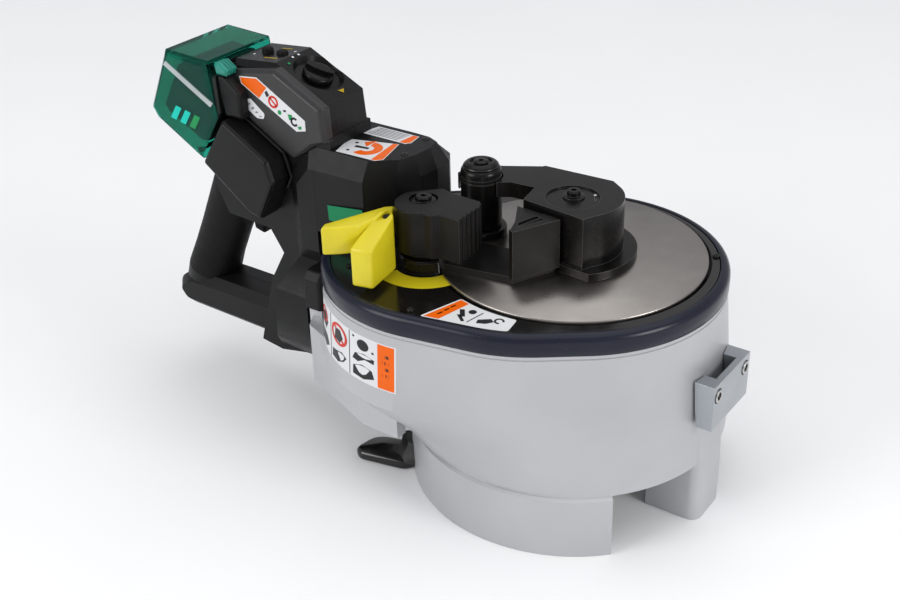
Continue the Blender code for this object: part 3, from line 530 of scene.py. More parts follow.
def case_steps():
    """Side lug and rear flange, then the base cut back on each side of the front leg."""
    lug = [(-56, -107), (-84, -106), (-141, -84), (-149, -70), (-149, -50), (-132, -50), (-125, -76),
           (-84, -97), (-56, -99)]
    flange = [(-149, -74), (-149, 8), (-139, 8), (-139, -74)]
    steps = [("add", plate, lug, 55, 96), ("add", plate, flange, 70, 120)]
    for side in (-1, 1):
        gap = [(48, LEG_HALF * side), (118, LEG_HALF * side), (118, 117 * side), (48, 47 * side)]
        steps.append(("cut", plate, gap, -1, 42))
    half = LEG_HALF + 0.2
    leg_room = [(66.2, -half), (118, -half), (118, half), (66.2, half)]
    steps.append(("cut", plate, leg_room, -1, 42))
    steps.append(("add", leg_fill))
    return steps


piece("drum_case", case_fill, "cast", "machine", ["gear_case"], case_steps(), 1, 3, 30)


def rim_fill(bm):
    """Band with a rounded upper edge."""
    crown = []
    for i in range(9):
        angle = math.radians(90 * i / 8)
        crown.append((lambda r, a=angle: r - 4.2 + 5 * math.cos(a), DECK - 6 + 5 * math.sin(angle)))
    hull_solid(bm, [(past(-RIM_W), CASE_TOP + 0.3), (past(0.3), CASE_TOP + 0.3),
                    (past(0.7), CASE_TOP + 0.8), (past(0.8), DECK - 8), *crown,
                    (past(-RIM_W), DECK - 1.2)])


piece("rim_band", rim_fill, "navy", "machine", ["rim_ring"], angle=40)


def cover_fill(bm):
    edge = RIM_W + 0.3
    hull_solid(bm, [(flat(52.3), 132), (flat(84), 132), (flat(84), 142),
                    (past(-edge), 142), (past(-edge), COVER_Z - 0.4),
                    (past(-edge - 0.4), COVER_Z), (flat(DISC_R + 1.9), COVER_Z),
                    (flat(DISC_R + 1.4), COVER_Z - 0.5), (flat(DISC_R + 1.4), 138),
                    (flat(52.3), 138)])


piece("deck_cover", cover_fill, "gloss", "machine", ["top_cover"],
      [("cut", rod, MOTOR, 14, 120, DECK + 5)], angle=40)

SCREWS = ((73.5, 43.5), (-42, -106.5), (-104, -84), (-84, 42))


def socket_screw(bm, centre, low, radius, height):
    """Domed screw head; its socket is cut out afterwards."""
    turned(bm, ((0, low), (radius, low), (radius, low + height * 0.5), (radius * 0.82, low + height * 0.9),
                (radius * 0.62, low + height), (0, low + height)), centre, 28)


for number, centre in enumerate(SCREWS, 1):
    piece("deck_screw_%d" % number, (socket_screw, centre, DECK - 1.2, 2.2, 1.2), "oxide",
          "machine", ["cover_screw_%d" % number],
          [("cut", rod, centre, 1, DECK - 0.7, DECK + 3, 6)], 0.12, 2)

FOOT = [(-74, -60), (-92, -50), (-114, -58), (-117, -76), (-111, -80), (-78, -73)]


def rounded(outline, radius, steps=5):
    """Replace each corner of a closed outline with a short curve."""
    result = []
    count = len(outline)
    for i in range(count):
        here = Vector(outline[i])
        back, ahead = Vector(outline[i - 1]) - here, Vector(outline[(i + 1) % count]) - here
        reach = min(radius, back.length * 0.45, ahead.length * 0.45)
        a, b = here + back.normalized() * reach, here + ahead.normalized() * reach
        for k in range(steps + 1):
            t = k / steps
            result.append(tuple(a * (1 - t) ** 2 + here * (2 * t * (1 - t)) + b * t ** 2))
    return result


def foot_fill(bm):
    outline = rounded(FOOT, 9)
    steps = ((0, 1.2), (0.8, 0.3), (1.6, 0), (4.2, 0), (5.4, 0.5), (6.3, 1.3), (6.9, 2.6))
    loft(bm, [level(inset(outline, by), z) for z, by in steps])


def foot_neck(bm):
    """Neck that sweeps up from the pad to the base ring."""
    neck = rounded([(-70, -71), (-84, -54), (-95, -57), (-94, -66), (-80, -72.5)], 4)
    pivot = Vector((-74, -60))
    rings = []
    for k in range(7):
        t = k / 6
        size = 1 - 0.32 * math.sin(t * math.pi / 2)
        rings.append([(*(pivot + (Vector(p) - pivot) * size), 5.5 + 14.5 * t) for p in neck])
    loft(bm, rings)


piece("rear_foot", foot_fill, "gloss", "machine", ["foot_pad"],
      [("add", foot_neck), ("cut", rod, (0, 0), BASE_R + 0.3, -2, 40, HULL_STEPS)], angle=38)

BRACKET_FRONT = 107.5
BRACKET = [(-22, 73), (26, 73), (26, 103), (-22, 103)]
BRACKET_BOLTS = ((-16, 94.8), (20, 94.8))
BRACKET_SLOT = [(80, -12), (103.5, -12), (103.5, 15), (80, 15)]


def lengthwise_rod(bm, y, z, radius, x_low, x_high, steps=24):
    ring = circle((y, z), radius, steps)
    loft(bm, [[(x, py, pz) for py, pz in ring] for x in (x_low, x_high)])


def bracket_steps():
    steps = [("cut", hull_solid, [(None, 60), (past(7.6), 60), (past(4.4), 84), (past(2.4), 110),
                                  (None, 110)]),
             ("cut", plate, BRACKET_SLOT, 79, 110)]
    for y, z in BRACKET_BOLTS:
        steps.append(("cut", lengthwise_rod, y, z, 4.7, BRACKET_FRONT - 2.2, 112))
        steps.append(("cut", lengthwise_rod, y, z, 2.3, 98, 112))
    return steps


piece("hook_bracket", (loft, [[(x, y, z) for y, z in BRACKET] for x in (90, BRACKET_FRONT)]),
      "zinc", "machine", ["front_bracket"], bracket_steps(), 0.7, 3)

for number, (y, z) in enumerate(BRACKET_BOLTS, 1):
    piece("bracket_screw_%d" % number,
          (lengthwise_rod, y, z, 4.2, 99.5, BRACKET_FRONT + 0.9), "steel", "machine",
          ["bracket_bolt_%d" % number],
          [("cut", lengthwise_rod, y, z, 2.7, BRACKET_FRONT - 2.6, 112, 6)], 0.4, 2)


# ------------------------------------------------------------------- turntable
def disc_fill(bm):
    turned(bm, ((0, 130), (39.7, 130), (39.7, 143.4), (80.4, 143.4), (DISC_R, 144), (DISC_R, DECK - 0.9),
                (DISC_R - 0.3, DECK - 0.35), (DISC_R - 0.9, DECK), (0, DECK)), steps=HULL_STEPS)


piece("ground_disc", disc_fill, "disc", "turntable", ["turntable_disc"], angle=60)

BOSS_TOP = DECK + 38
FLANGE_TOP = DECK + 5.5
BOSS = arc((0, 0), 30, -38, 52, 24) + [(10, 29.5), (-36, 27), (-41, 20), (-41, 9), (-25, -3),
                                       (-22, -20.5), (21, -25)]
BOSS_FLANGE = arc((0, 0), 38.5, -46, 130, 40) + [(-24, 20), (-24, -20), (4, -25.5)]
BRIDGE = [(-36, 26), (-60, 12), (-76, 4), (-76, -10), (-70, -14), (-56, -14), (-41, -4.5),
          (-24, -3), (-24, 20)]
UNDER_BRIDGE = [(-80, -20), (-25.5, -20), (-25.5, 40), (-80, 40)]


def recess(bm):
    """Shallow round counterbore that the former's bolt stands in."""
    rod(bm, (1, -3), 16.2, BOSS_TOP - 1.1, BOSS_TOP + 3, 64)


piece("former", (plate, BOSS, FLANGE_TOP - 1, BOSS_TOP), "oxide", "turntable",
      ["forming_boss"],
      [("add", plate, BOSS_FLANGE, DECK + 0.3, FLANGE_TOP),
       ("add", plate, BRIDGE, BOSS_TOP - 10, BOSS_TOP),
       ("cut", rod, ROLLER, 13.6, DECK, DECK + 70, 48),
       ("cut", plate, UNDER_BRIDGE, DECK - 1, BOSS_TOP - 10),
       ("cut", recess)], 0.7, 3, 30)


def hex_bolt(bm, centre, low, flange, head, high):
    turned(bm, ((0, low), (flange, low), (flange, low + 1), (head, low + 1.4), (head, high - 0.8),
                (head - 0.8, high), (0, high)), centre, 32)


piece("former_bolt", (hex_bolt, (0, 0), BOSS_TOP - 1.1, 6.6, 4.2, BOSS_TOP + 3.6), "oxide",
      "turntable", ["boss_bolt"], [("cut", rod, (0, 0), 2, BOSS_TOP + 1.6, BOSS_TOP + 6, 6)],
      0.25, 2)
piece("former_pin", (turned, ((0, BOSS_TOP - 1), (1.1, BOSS_TOP - 1), (1.1, BOSS_TOP + 0.4),
                              (0.7, BOSS_TOP + 0.7), (0, BOSS_TOP + 0.7)), (11, 6), 16),
      "steel", "turntable")

CARRIER = [(3.5, -26.2), (-9, -53), (-14, -52.6), (-52, -59.5), (-58, -48), (-48, -24),
           (-26, -22), (-22.6, -24.2)]
RIB = [(6.5, -26), (-8, -54), (-11.5, -52.4), (-2, -31), (-6, -24.4)]
GUSSET = [(-2, -25.4), (-10.8, -52), (-14, -42), (-24, -23.8)]
GUSSET_GROOVE = [(-4.5, -30), (-9.8, -46), (-11.6, -42), (-7.6, -29)]
piece("carrier", (plate, CARRIER, DECK + 0.3, DECK + 4), "oxide_dull", "turntable",
      ["carrier_plate"],
      [("add", plate, RIB, DECK + 3.5, DECK + 34.5),
       ("add", plate, GUSSET, DECK + 30, DECK + 34.5),
       ("cut", plate, GUSSET_GROOVE, DECK + 33, DECK + 40)], 0.55, 3)

piece("roller_post", (turned, ((0, DECK + 0.3), (15.6, DECK + 0.3), (15.6, DECK + 4.2),
                               (15, DECK + 5.2), (13, DECK + 5.6), (8, DECK + 5.6), (8, DECK + 45),
                               (0, DECK + 45)), ROLLER),
      "oxide", "turntable", ["roller_pin"], angle=40)


def roller_fill(bm):
    low, top = DECK + 6, DECK + 44.6
    turned(bm, ((8.3, low), (11.8, low), (12.6, low + 0.8), (12.6, top - 8.2), (12.2, top - 7.7),
                (12.2, top - 7.1), (12.6, top - 6.6), (12.6, top - 5.8), (12.2, top - 5.3),
                (12.2, top - 4.7), (12.6, top - 4.2), (12.5, top - 2.6), (12, top - 1.2),
                (11.2, top - 0.4), (10.2, top), (8.3, top)), ROLLER, 72)


piece("roller_sleeve", roller_fill, "oxide", "roller", ["bending_roller"], angle=30)


def cap_fill(bm):
    low = DECK + 45.3
    turned(bm, ((0, low), (11, low), (10.7, low + 0.6), (9.9, low + 1.4), (8.8, low + 2), (7.6, low + 2.2),
                (6.9, low + 1.9), (6.6, low + 1), (4.6, low + 1), (4.5, low + 2.6), (3.8, low + 3),
                (0, low + 3)), ROLLER, 64)


piece("roller_top", cap_fill, "oxide", "turntable", ["roller_cap"],
      [("cut", rod, ROLLER, 2, DECK + 46.6, DECK + 52, 6)], angle=30)

# --------------------------------------------------------------- reaction block
BLOCK_TOP = DECK + 41
BLOCK_LOW = DECK + 13


def block_outline():
    outline = [(-66.7, -38.5), (-58.2, -41), (-38.5, -41.4), (-35.6, -44.1)]
    for i in range(5):
        y = -46.5 - 4.4 * i
        outline += [(-35.4, y), (-34.2, y - 1), (-34, y - 2.6), (-35.3, y - 3.4)]
    outline += [(-33.6, -69.2), (-47.7, -68.8), (-50.9, -72.6)]
    outline += arc((-66.4, -59.8), 16.3, -52, -205, 16)
    return outline


piece("reaction_jaw", (plate, block_outline(), BLOCK_LOW, BLOCK_TOP), "oxide_dull", "reaction",
      ["reaction_block"],
      [("cut", rod, PIVOT, 8.4, BLOCK_TOP - 2.2, BLOCK_TOP + 2, 40)], 0.5, 3, 28)


def pivot_base(bm):
    turned(bm, ((0, COVER_Z + 0.3), (16, COVER_Z + 0.3), (16, DECK + 5.6), (15.2, DECK + 6.8),
                (13.4, DECK + 7.4), (12.4, DECK + 8), (12, BLOCK_LOW - 0.3), (8, BLOCK_LOW - 0.3),
                (8, BLOCK_TOP - 3), (0, BLOCK_TOP - 3)), PIVOT, 64)


piece("pivot_post", pivot_base, "oxide", "machine", ["pivot_pin"],
      [("cut", rod, (0, 0), DISC_R + 0.9, DECK - 4, DECK + 12.6, HULL_STEPS)], 0.4, 2)


def pivot_bolt_fill(bm):
    low = BLOCK_TOP - 1.9
    turned(bm, ((0, low), (7.8, low), (7.8, low + 0.8), (6.9, low + 1.3), (5, low + 1.3), (4.9, low + 3.4),
                (4.2, low + 4), (0, low + 4)), PIVOT, 36)


piece("pivot_screw", pivot_bolt_fill, "oxide", "reaction", ["pivot_bolt"],
      [("cut", rod, PIVOT, 2.1, BLOCK_TOP + 0.4, BLOCK_TOP + 6, 6)], 0.2, 2)


WING = [(-81.5, -76), (-84.5, -96), (-92, -104), (-101, -111), (-103.5, -105), (-88, -68),
        (-83.5, -64), (-80, -70)]


def soften(bm, width):
    """Round every edge."""
    bmesh.ops.recalc_face_normals(bm, faces=bm.faces)
    bmesh.ops.bevel(bm, geom=bm.edges[:], offset=width, segments=4, profile=0.5, affect="EDGES",
                    clamp_overlap=True)


def guard_fill(bm):
    low, near_top, top = DECK + 2.5, DECK + 27, DECK + 38
    front = [(-69.5, -105), (-73.5, -78), (-80, -71.5), (-85, -78), (-83, -108)]
    heights = (near_top, top, top, top, near_top)
    loft(bm, [[(x, y, low) for x, y in front], [(x, y, z) for (x, y), z in zip(front, heights)]])
    soften(bm, 1.9)


def wing_fill(bm):
    plate(bm, WING, DECK + 18.5, DECK + 36)
    soften(bm, 1.6)


def guard_slot(bm):
    """Slot in the guard's top; its fixing screw sits inside."""
    across = Vector((0.28, 0.96))
    a, b = Vector((-79.6, -83.5)), Vector((-79, -76.4))
    heading = math.degrees(math.atan2(across.y, across.x))
    outline = arc(tuple(b), 2.6, heading - 90, heading + 90, 8)
    outline += arc(tuple(a), 2.6, heading + 90, heading + 270, 8)
    plate(bm, outline, DECK + 34.6, DECK + 44)


piece("guard_lever", guard_fill, "yellow", "reaction", ["swing_guard"],
      [("add", wing_fill), ("cut", guard_slot)], 0.35, 2, 40)
piece("guard_fixing", (socket_screw, (-79.1, -77.2), DECK + 34.8, 2.3, 1.4), "oxide", "reaction",
      ["guard_screw"], angle=40)


# --------------------------------------------------------------------- housing
FRONT = -151.3
GRIP_PATH = ((-282, 58, 19, 19.5), (-277.5, 76, 18, 18.5), (-269.5, 94, 17.5, 16),
             (-260.5, 113, 17.5, 15.5), (-251, 133, 18, 15.5), (-242.5, 152, 18, 15.5))
TRIGGER = [(-227, 152), (-231, 137), (-229, 119.5), (-221, 117.5), (-216, 134), (-214, 152)]


def grip_fill(bm):
    rings = []
    for x, z, deep, half in GRIP_PATH:
        ring = []
        for i in range(28):
            angle = 2 * math.pi * (i + 0.5) / 28
            ring.append((x + deep * math.cos(angle), MID + half * math.sin(angle), z - 5 * math.cos(angle)))
        rings.append(ring)
    loft(bm, rings)


def box_cut(bm, low, high):
    (x0, y0, z0), (x1, y1, z1) = low, high
    plate(bm, [(x0, y0), (x1, y0), (x1, y1), (x0, y1)], z0, z1)


def flare_fill(bm):
    """Lower body where it widens to meet the drum's flange."""
    rings = ((47.5, -196, -53, -7), (53, -193, -58, -5), (66, -185, -69, 0),
             (82, -179, -74, 2), (105, -178.5, -74, 2), (108, -177, -72.5, 0.5),
             (121, -172, -57, -7), (125, -170, -53, -8))
    loft(bm, [[(x, near, z), (FRONT, near, z), (FRONT, far, z), (x, far, z)] for z, x, near, far in rings])


def half_steps(near):
    lean = 1 if near else -1
    inner = MID - 0.15 * lean
    outer = -54 if near else -6
    bar = rounded([(-293, 47.5), (-301, 58), (-299, 66), (-288, 74), (-262, 75), (-200, 75),
                   (-200, 46)], 7)
    slot = [(-238, 112), (-238, 138), (-249, 139), (-249, 160), (-208, 163), (-208, 112)]
    hollow = [(-226, 181), (-212, 200.5), (-156, 200.5), (-156, 60), (-194, 51), (-203, 56),
              (-194, 97), (-180, 121), (-192, 142), (-228, 143), (-237, 160)]
    span = sorted((inner, MID + 90 * lean))
    hollow_span = sorted((outer + 4 * lean, MID + 3 * lean))
    lug = [(-227, 186), (-233, 181.2), (-238.5, 184.8), (-240.2, 188.5), (-238.5, 191.8), (-234, 192.2),
           (-227, 191)]
    lug_span = (-48, -40) if near else (-22, -15)
    steps = [("add", grip_fill), ("add", side_plate, bar, MID - 20, MID + 17, 6),
             ("add", flare_fill),
             ("cut", box_cut, (-330, span[0], 0), (-100, span[1], 300)),
             ("cut", side_plate, slot, MID - 7.5, MID + 7.5),
             ("cut", side_plate, hollow, *hollow_span)]
    if not near:
        steps.append(("cut", box_cut, (-217, -14.2, 204.3), (-130, 0, 215)))
    steps.append(("add", side_plate, lug, *lug_span))
    return steps


BODY = [(-233, 181.5), (-214.5, 211.7), (-139, 211.7), (-139, 204.3), (FRONT, 204.3), (FRONT, 53),
        (-196, 43.5), (-214, 46), (-199, 98), (-186, 121), (-196, 136.5), (-232, 138),
        (-243, 160)]
GRIP_LOW, GRIP_HIGH = 75.4, 150


def is_grip(point):
    """Inside the part of the handle that the hand closes round."""
    x, y, z = (point - ORIGIN) / MM
    return GRIP_LOW < z < GRIP_HIGH and x < -236 + 0.12 * (z - 110)


def mark_grip(obj):
    obj.data.materials.append(LOOKS["grip"])
    for face in obj.data.polygons:
        if is_grip(face.center):
            face.material_index = 1


near_half = piece("body_near", (side_plate, BODY, -54, MID - 0.15), "body", "machine",
                  ["housing_near"], half_steps(True), 1.6, 4, 28)
far_half = piece("body_far", (side_plate, BODY, MID + 0.15, -6), "body", "machine",
                 ["housing_far"], half_steps(False), 1.6, 4, 28)
mark_grip(near_half)
mark_grip(far_half)


def shroud_fill(bm):
    """Housing's collar over the top of the drum's flange."""
    rings = ((100.5, 0), (121.5, 0), (127, 4))
    loft(bm, [[(FRONT - 0.5, -75 + back, z), (-140, -75 + back, z), (-138, -73 + back, z),
               (-138, 8.6 - back, z), (FRONT - 0.5, 8.6 - back, z)] for z, back in rings])


piece("flange_shroud", shroud_fill, "body", "machine", edge=1.4, segments=4, angle=20)

FAR_SCREWS = ((-222, 176, -6.6), (-168, 186, -6.6), (-166, 128, -6.6), (-206, 62, -6.6),
              (-270, 62, MID + 16.6), (-258, 132, MID + 14.4))
for number, (x, z, face) in enumerate(FAR_SCREWS, 1):
    piece("body_screw_%d" % number, (cross_rod, x, z, 2.6, face - 3, face + 0.9), "oxide",
          "machine", (),
          [("cut", cross_rod, x, z, 1.3, face - 0.6, face + 4, 6)], 0.25, 2)

HOOD_Z = DECK + 54
HOOD_SCREWS = ((-97.5, -34.5), (-100.5, -8.5))
HOOD_TOP = [(-151, -54), (-110, -54), (-96, -43), (-91.5, -31), (-90.5, -18), (-93, -8),
            (-101, -4.5), (-112, -4), (-151, -4)]
HOOD_BASE = [(-151, -60), (-112, -58.5), (-97, -45), (-88, -32), (-85.5, -18), (-86.5, -4),
             (-93, 6), (-112, 8), (-151, 8)]


def hood_fill(bm):
    rings = ((HOOD_BASE, DECK - 0.5), (HOOD_BASE, HOOD_Z - 13), (HOOD_TOP, HOOD_Z))
    loft(bm, [level(ring, z) for ring, z in rings])


def hood_room(bm):
    wall = 3.5
    rings = ((HOOD_BASE, DECK - 3), (HOOD_BASE, HOOD_Z - 15), (HOOD_TOP, HOOD_Z - wall))
    loft(bm, [level(inset(ring, wall), z) for ring, z in rings])


def fairing_fill(bm):
    """Bulge that carries the hood's near side back into the housing."""
    wide = [(-173, 122), (-174, 184), (-156, 203.8), (-149.4, 203.8), (-149.4, 122)]
    narrow = [(-163.5, 134), (-164, 178), (-153.5, 190.8), (-149.4, 190.95), (-149.4, 134)]
    loft(bm, [[(x, y, z) for x, z in ring] for y, ring in ((-52, wide), (-53.8, wide), (-60, narrow))])


piece("hood", hood_fill, "body", "machine", ["motor_hood"],
      [("cut", hood_room), ("add", fairing_fill)], 1.3, 4, 12)
for number, centre in enumerate(HOOD_SCREWS, 1):
    piece("hood_screw_%d" % number, (socket_screw, centre, HOOD_Z - 0.4, 2.4, 1.1), "oxide",
          "machine", (), [("cut", rod, centre, 1.1, HOOD_Z + 0.1, HOOD_Z + 6, 6)],
          0.12, 2)

CONTROL = [(-214, 212), (-214, 248), (-181, 251), (-141, 232), (-139, 212)]
DIAL_AT = (-163, -32, 242.45)
DIAL_TILT = math.atan2(19, 40)
BUTTONS = ((-202, -34), (-190, -34))


def on_slope(bm, profile, steps=48):
    """Spin a profile about the normal of the control box's sloping face."""
    start = len(bm.verts)
    turned(bm, profile, (0, 0), steps)
    tilt = Matrix.Rotation(DIAL_TILT, 4, "Y")
    bm.verts.ensure_lookup_table()
    for vert in list(bm.verts)[start:]:
        vert.co = tilt @ vert.co + Vector(DIAL_AT)


def control_steps():
    steps = [("cut", side_plate, inset(CONTROL, 5), -49, -19),
             ("cut", on_slope, ((0, -3), (14, -3.4), (17.4, 1.5), (17.4, 6), (0, 6))),
             ("cut", on_slope, ((0, -20), (3.4, -20), (3.4, 4), (0, 4)))]
    for x, y in BUTTONS:
        steps.append(("cut", rod, (x, y), 4, 236, 260))
    return steps


piece("control_shell", (side_plate, CONTROL, -54, -14, 3.5), "panel", "machine",
      ["control_box"], control_steps(), 0.9, 3, 20)
SHELL = [(-213, 219), (-213, 243.2), (-176, 249.4), (-140.5, 231.4), (-138.9, 209), (-150, 205.2),
         (-158, 199), (-168, 193), (-178.5, 198.5), (-211, 217.4)]
piece("side_shell", (side_plate, SHELL, -58.5, -50, 2.6, 0), "box", "machine",
      edge=0.9, angle=20)


def dial_fill(bm):
    on_slope(bm, ((0, -12), (3, -12), (3, -2.4), (9.8, -2.4), (9.6, 0.2), (9, 1), (8.2, 1.3),
                  (0, 1.3)), 40)


def dial_grip(bm):
    """Finger bar across the dial, in the sloping face's own frame."""
    outline = [(-8.9, -1.4), (-3, -2.6), (3, -2.6), (8.9, -1.4), (8.9, 1.4), (3, 2.6), (-3, 2.6),
               (-8.9, 1.4)]
    plate(bm, outline, 0.6, 4.2)
    tilt = Matrix.Rotation(DIAL_TILT, 4, "Y") @ Matrix.Rotation(0.5, 4, "Z")
    bm.transform(Matrix.Translation(Vector(DIAL_AT)) @ tilt)


piece("dial_knob", dial_fill, "panel", "dial", ["angle_dial"], [("add", dial_grip)], 0.5, 2)
BUTTON = ((0, 240), (3.6, 240), (3.6, 251.4), (3.2, 252), (2.4, 252.2), (0, 252.2))
for name, stand, (x, y) in zip(("key_power", "key_mode"), ("power_button", "mode_button"), BUTTONS):
    piece(name, (turned, BUTTON, (x, y), 32), "grip", stand, [stand], angle=40)

SIDE_COVER = [(-233, 181), (-212, 214), (-177, 194), (-172.5, 180), (-186.5, 152), (-196, 154)]
LIP = [(-210.5, 216.4), (-175.2, 196.4), (-169.9, 180.2), (-174.4, 170.4), (-179.5, 174), (-190, 190)]
piece("side_lip", (side_plate, LIP, -57.2, -53, 1, 0), "body", "machine",
      steps=[("cut", side_plate, inset(SIDE_COVER, -1), -60, -54.6)], edge=0.5, angle=20)
piece("side_box", (side_plate, SIDE_COVER, -72, -54.4, 1.8, 0), "body", "machine",
      ["side_cover"], edge=1.4, segments=4, angle=20)

BATTERY_COVER = [(-256, 252), (-275, 211), (-270, 203), (-233.6, 182.6), (-214.8, 214), (-220, 250.5)]
COVER_ROOM = [(-253.5, 249.3), (-272.3, 211), (-268.3, 205.2), (-230, 182), (-208, 214), (-214, 248.3)]
NOTCH = [(-243, 180), (-243, 194), (-225, 194), (-225, 180)]
piece("clear_cover", (side_plate, BATTERY_COVER, -72, -10, 3), "green", "cover",
      ["battery_cover"],
      [("cut", side_plate, COVER_ROOM, -69.8, -12.2),
       ("cut", side_plate, NOTCH, -48.6, -39.4),
       ("cut", side_plate, NOTCH, -22.6, -14.4)], 0.9, 3, 20)
LATCH = [(-216.6, 242.2), (-217.6, 248.4), (-213.2, 249.4), (-207.6, 245.4), (-209, 242.2)]


def latch_fill(bm):
    """Thumb tab; raised ribs are added across it."""
    side_plate(bm, LATCH, -67, -57, 1)


def latch_rib(bm, k):
    y = -65.6 + 2.3 * k
    side_plate(bm, inset(LATCH, -0.7), y, y + 1.1, 0.3)


piece("latch_tab", latch_fill, "latch", "latch", ["cover_latch"],
      [("add", latch_rib, k) for k in range(4)], 0.25, 2, 20)
CATCH = [(-213.8, 214.6), (-216.6, 228), (-217.5, 241), (-211, 241), (-199.5, 232), (-199.5, 214.6)]
piece("catch_block", (side_plate, CATCH, -66, -54.3, 1.5, 0), "body", "machine",
      ["cover_catch"], edge=1.2, angle=20)
PACK = [(-249, 242.5), (-266, 213), (-262.5, 208), (-236, 194.2), (-231.5, 193.6), (-217.4, 215.5),
        (-218.5, 240)]


def pack_rib(bm, k):
    x = -246 + 9 * k
    plate(bm, [(x, -60), (x + 4, -60), (x + 4, -22), (x, -22)], 240, 244)


piece("battery_case", (side_plate, PACK, -67.2, -15.5, 1.6), "pack", "machine",
      ["battery_pack"], [("add", pack_rib, k) for k in range(3)], 0.6, 3, 20)
COVER_NEAR = -72
STRIPE = [(-256.4, 242.6), (-254, 245.4), (-216.6, 224.6), (-218.8, 221.8)]
piece("cover_stripe", (side_plate, STRIPE, COVER_NEAR - 0.7, COVER_NEAR + 0.4), "strip", "cover",
      edge=0.25, segments=2)
piece("trigger_lever", (side_plate, TRIGGER, MID - 6, MID + 6, 1.6), "grip", "trigger",
      ["trigger"], edge=0.7, angle=20)


# ---------------------------------------------------------------------- labels
PRINT = 0.14


def decal(name, look, body, shapes, place, height=0):
    """Thin printed shapes: place turns (u, v, height) into a machine point."""
    bm = bmesh.new()
    for outline in shapes:
        loft(bm, [[place(u, v, height + h) for u, v in outline] for h in (0.02, PRINT)])
    obj = object_of(mesh_of(bm, name), name)
    obj.data.materials.append(LOOKS[look])
    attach(obj, body)
    return obj


def label(name, slot, place, ground, *layers):
    """White ground on the machine and printed layers (suffix, look, shapes) on top of it."""
    decal(name, "white", "machine", ground, place)
    for suffix, look, shapes in layers:
        decal(name + suffix, look, "machine", shapes, place, PRINT)


def on_top(z):
    return lambda u, v, h: (u, v, z + h)


def on_near(y):
    return lambda u, v, h: (u, y - h, v)


def ring_band(inner, outer, start, stop, centre=(0, 0), steps=18):
    return arc(centre, outer, start, stop, steps) + arc(centre, inner, stop, start, steps)


def deck_patch(start, stop, near, far, steps=10):
    """Patch of the deck between the disc's edge and the rim, in degrees round the axis."""
    turn = [math.radians(start + (stop - start) * i / steps) for i in range(steps + 1)]
    inner = [((DISC_R + near) * math.cos(a), (DISC_R + near) * math.sin(a)) for a in turn]
    outer = [((hull_radius(a) - far) * math.cos(a), (hull_radius(a) - far) * math.sin(a)) for a in turn]
    return inner + outer[::-1]


decal("swing_band", "yellow", "machine", [ring_band(19, 32, -118, 2, PIVOT, 40)], on_top(COVER_Z))
label("deck_label", "gloss_black", on_top(COVER_Z),
      [rounded(deck_patch(-107.6, -80.5, 3.2, 6.4), 1.5, 2)],
      ("_end", "orange", [deck_patch(-106.8, -102.6, 4, 7.2, 4)]),
      ("_marks", "ink", [
        circle((-11.6, -89.2), 2.3, 18), [(-19.5, -90.5), (-17, -89.2), (-12.5, -95.5), (-14.8, -97)],
        [(-17.6, -96), (-15.8, -95), (-10.2, -99.6), (-11.4, -101)],
        [(-6.2, -87), (-5.6, -87), (-8, -100), (-8.6, -100)],
        [(-4.6, -94.6), (1.4, -90), (4.4, -92), (1.4, -96), (-3.4, -98)],
        ring_band(1.8, 3, 10, 300, (6.4, -89.6))]),
      ("_text", "ink", [[(x - 24.6, y - 88), (x - 23.4, y - 88), (x - 24.4, y - 91.6), (x - 25.6, y - 91.6)]
                        for x, y in ((0, 0), (-1, -5), (-2, -10))]))

label("hood_label_1", "charcoal", on_top(HOOD_Z),
      [[(-141, -33.5), (-109.5, -24), (-103.5, -47.5), (-107, -51.5), (-136, -52.6)]],
      ("_end", "orange", [[(-113, -25.6), (-109.8, -24.6), (-104, -47.4), (-107.2, -51), (-109.8, -51.2)]]),
      ("_arc", "orange", [ring_band(4.2, 9.6, -115, 100, (-122, -39.5)),
                          [(-124, -27.5), (-124.4, -37.4), (-129.4, -32.6)]]),
      ("_ink", "ink", [[(-131, -39), (-121.5, -38), (-121, -40.2), (-130.4, -41.6)],
                       circle((-133, -35.6), 1.1, 14), circle((-131, -47.2), 1.1, 14)]))
label("hood_label_2", "charcoal", on_top(HOOD_Z),
      [[(-141, -21.5), (-137.5, -8), (-106, -8), (-104.5, -18.5), (-107, -21.5)]],
      ("_end", "orange", [[(-110, -8.6), (-106.4, -8.6), (-105.2, -18.4), (-107.6, -20.9),
                           (-111.5, -20.9)]]),
      ("_lines", "grey_ink", [[(0.3 * k - 137, 1.9 * k - 19.6), (0.3 * k - 114, 1.9 * k - 19.6),
                               (0.3 * k - 114, 1.9 * k - 19), (0.3 * k - 137, 1.9 * k - 19)]
                              for k in range(6)]))

RAIL_Y = -58.5
label("rail_label", "charcoal", on_near(RAIL_Y),
      [[(-204.8, 240.6), (-190.4, 242.4), (-153.6, 221.8), (-153.6, 215.2), (-161, 213.4), (-203.6, 236)]],
      ("_end", "orange", [[(-204, 240), (-190.6, 241.6), (-182.8, 237.2), (-189.6, 229.3), (-203, 236.4)]]),
      ("_red", "red", [ring_band(2.6, 4, 0, 359, (-178.2, 229), 28),
                       [(-180.9, 231), (-180.2, 231.8), (-175.5, 227), (-176.2, 226.2)]]),
      ("_ink", "ink", [[(-184.6, 233.8), (-182.8, 235.6), (-181, 232.8), (-183, 231)],
                       [(-170.6, 225.4), (-168.4, 225.8), (-168.2, 224.6), (-170.2, 224.2)],
                       ring_band(1.6, 3, 40, 330, (-162.2, 219.4))]),
      ("_green", "leaf", [circle((-173.6, 223.2), 1.5, 16),
                          [(-167, 223.4), (-163.6, 223.6), (-164, 220.4), (-166.2, 219.8)],
                          [(-159.6, 217), (-156.6, 217.6), (-156.8, 215.6), (-159, 215.2)]]))
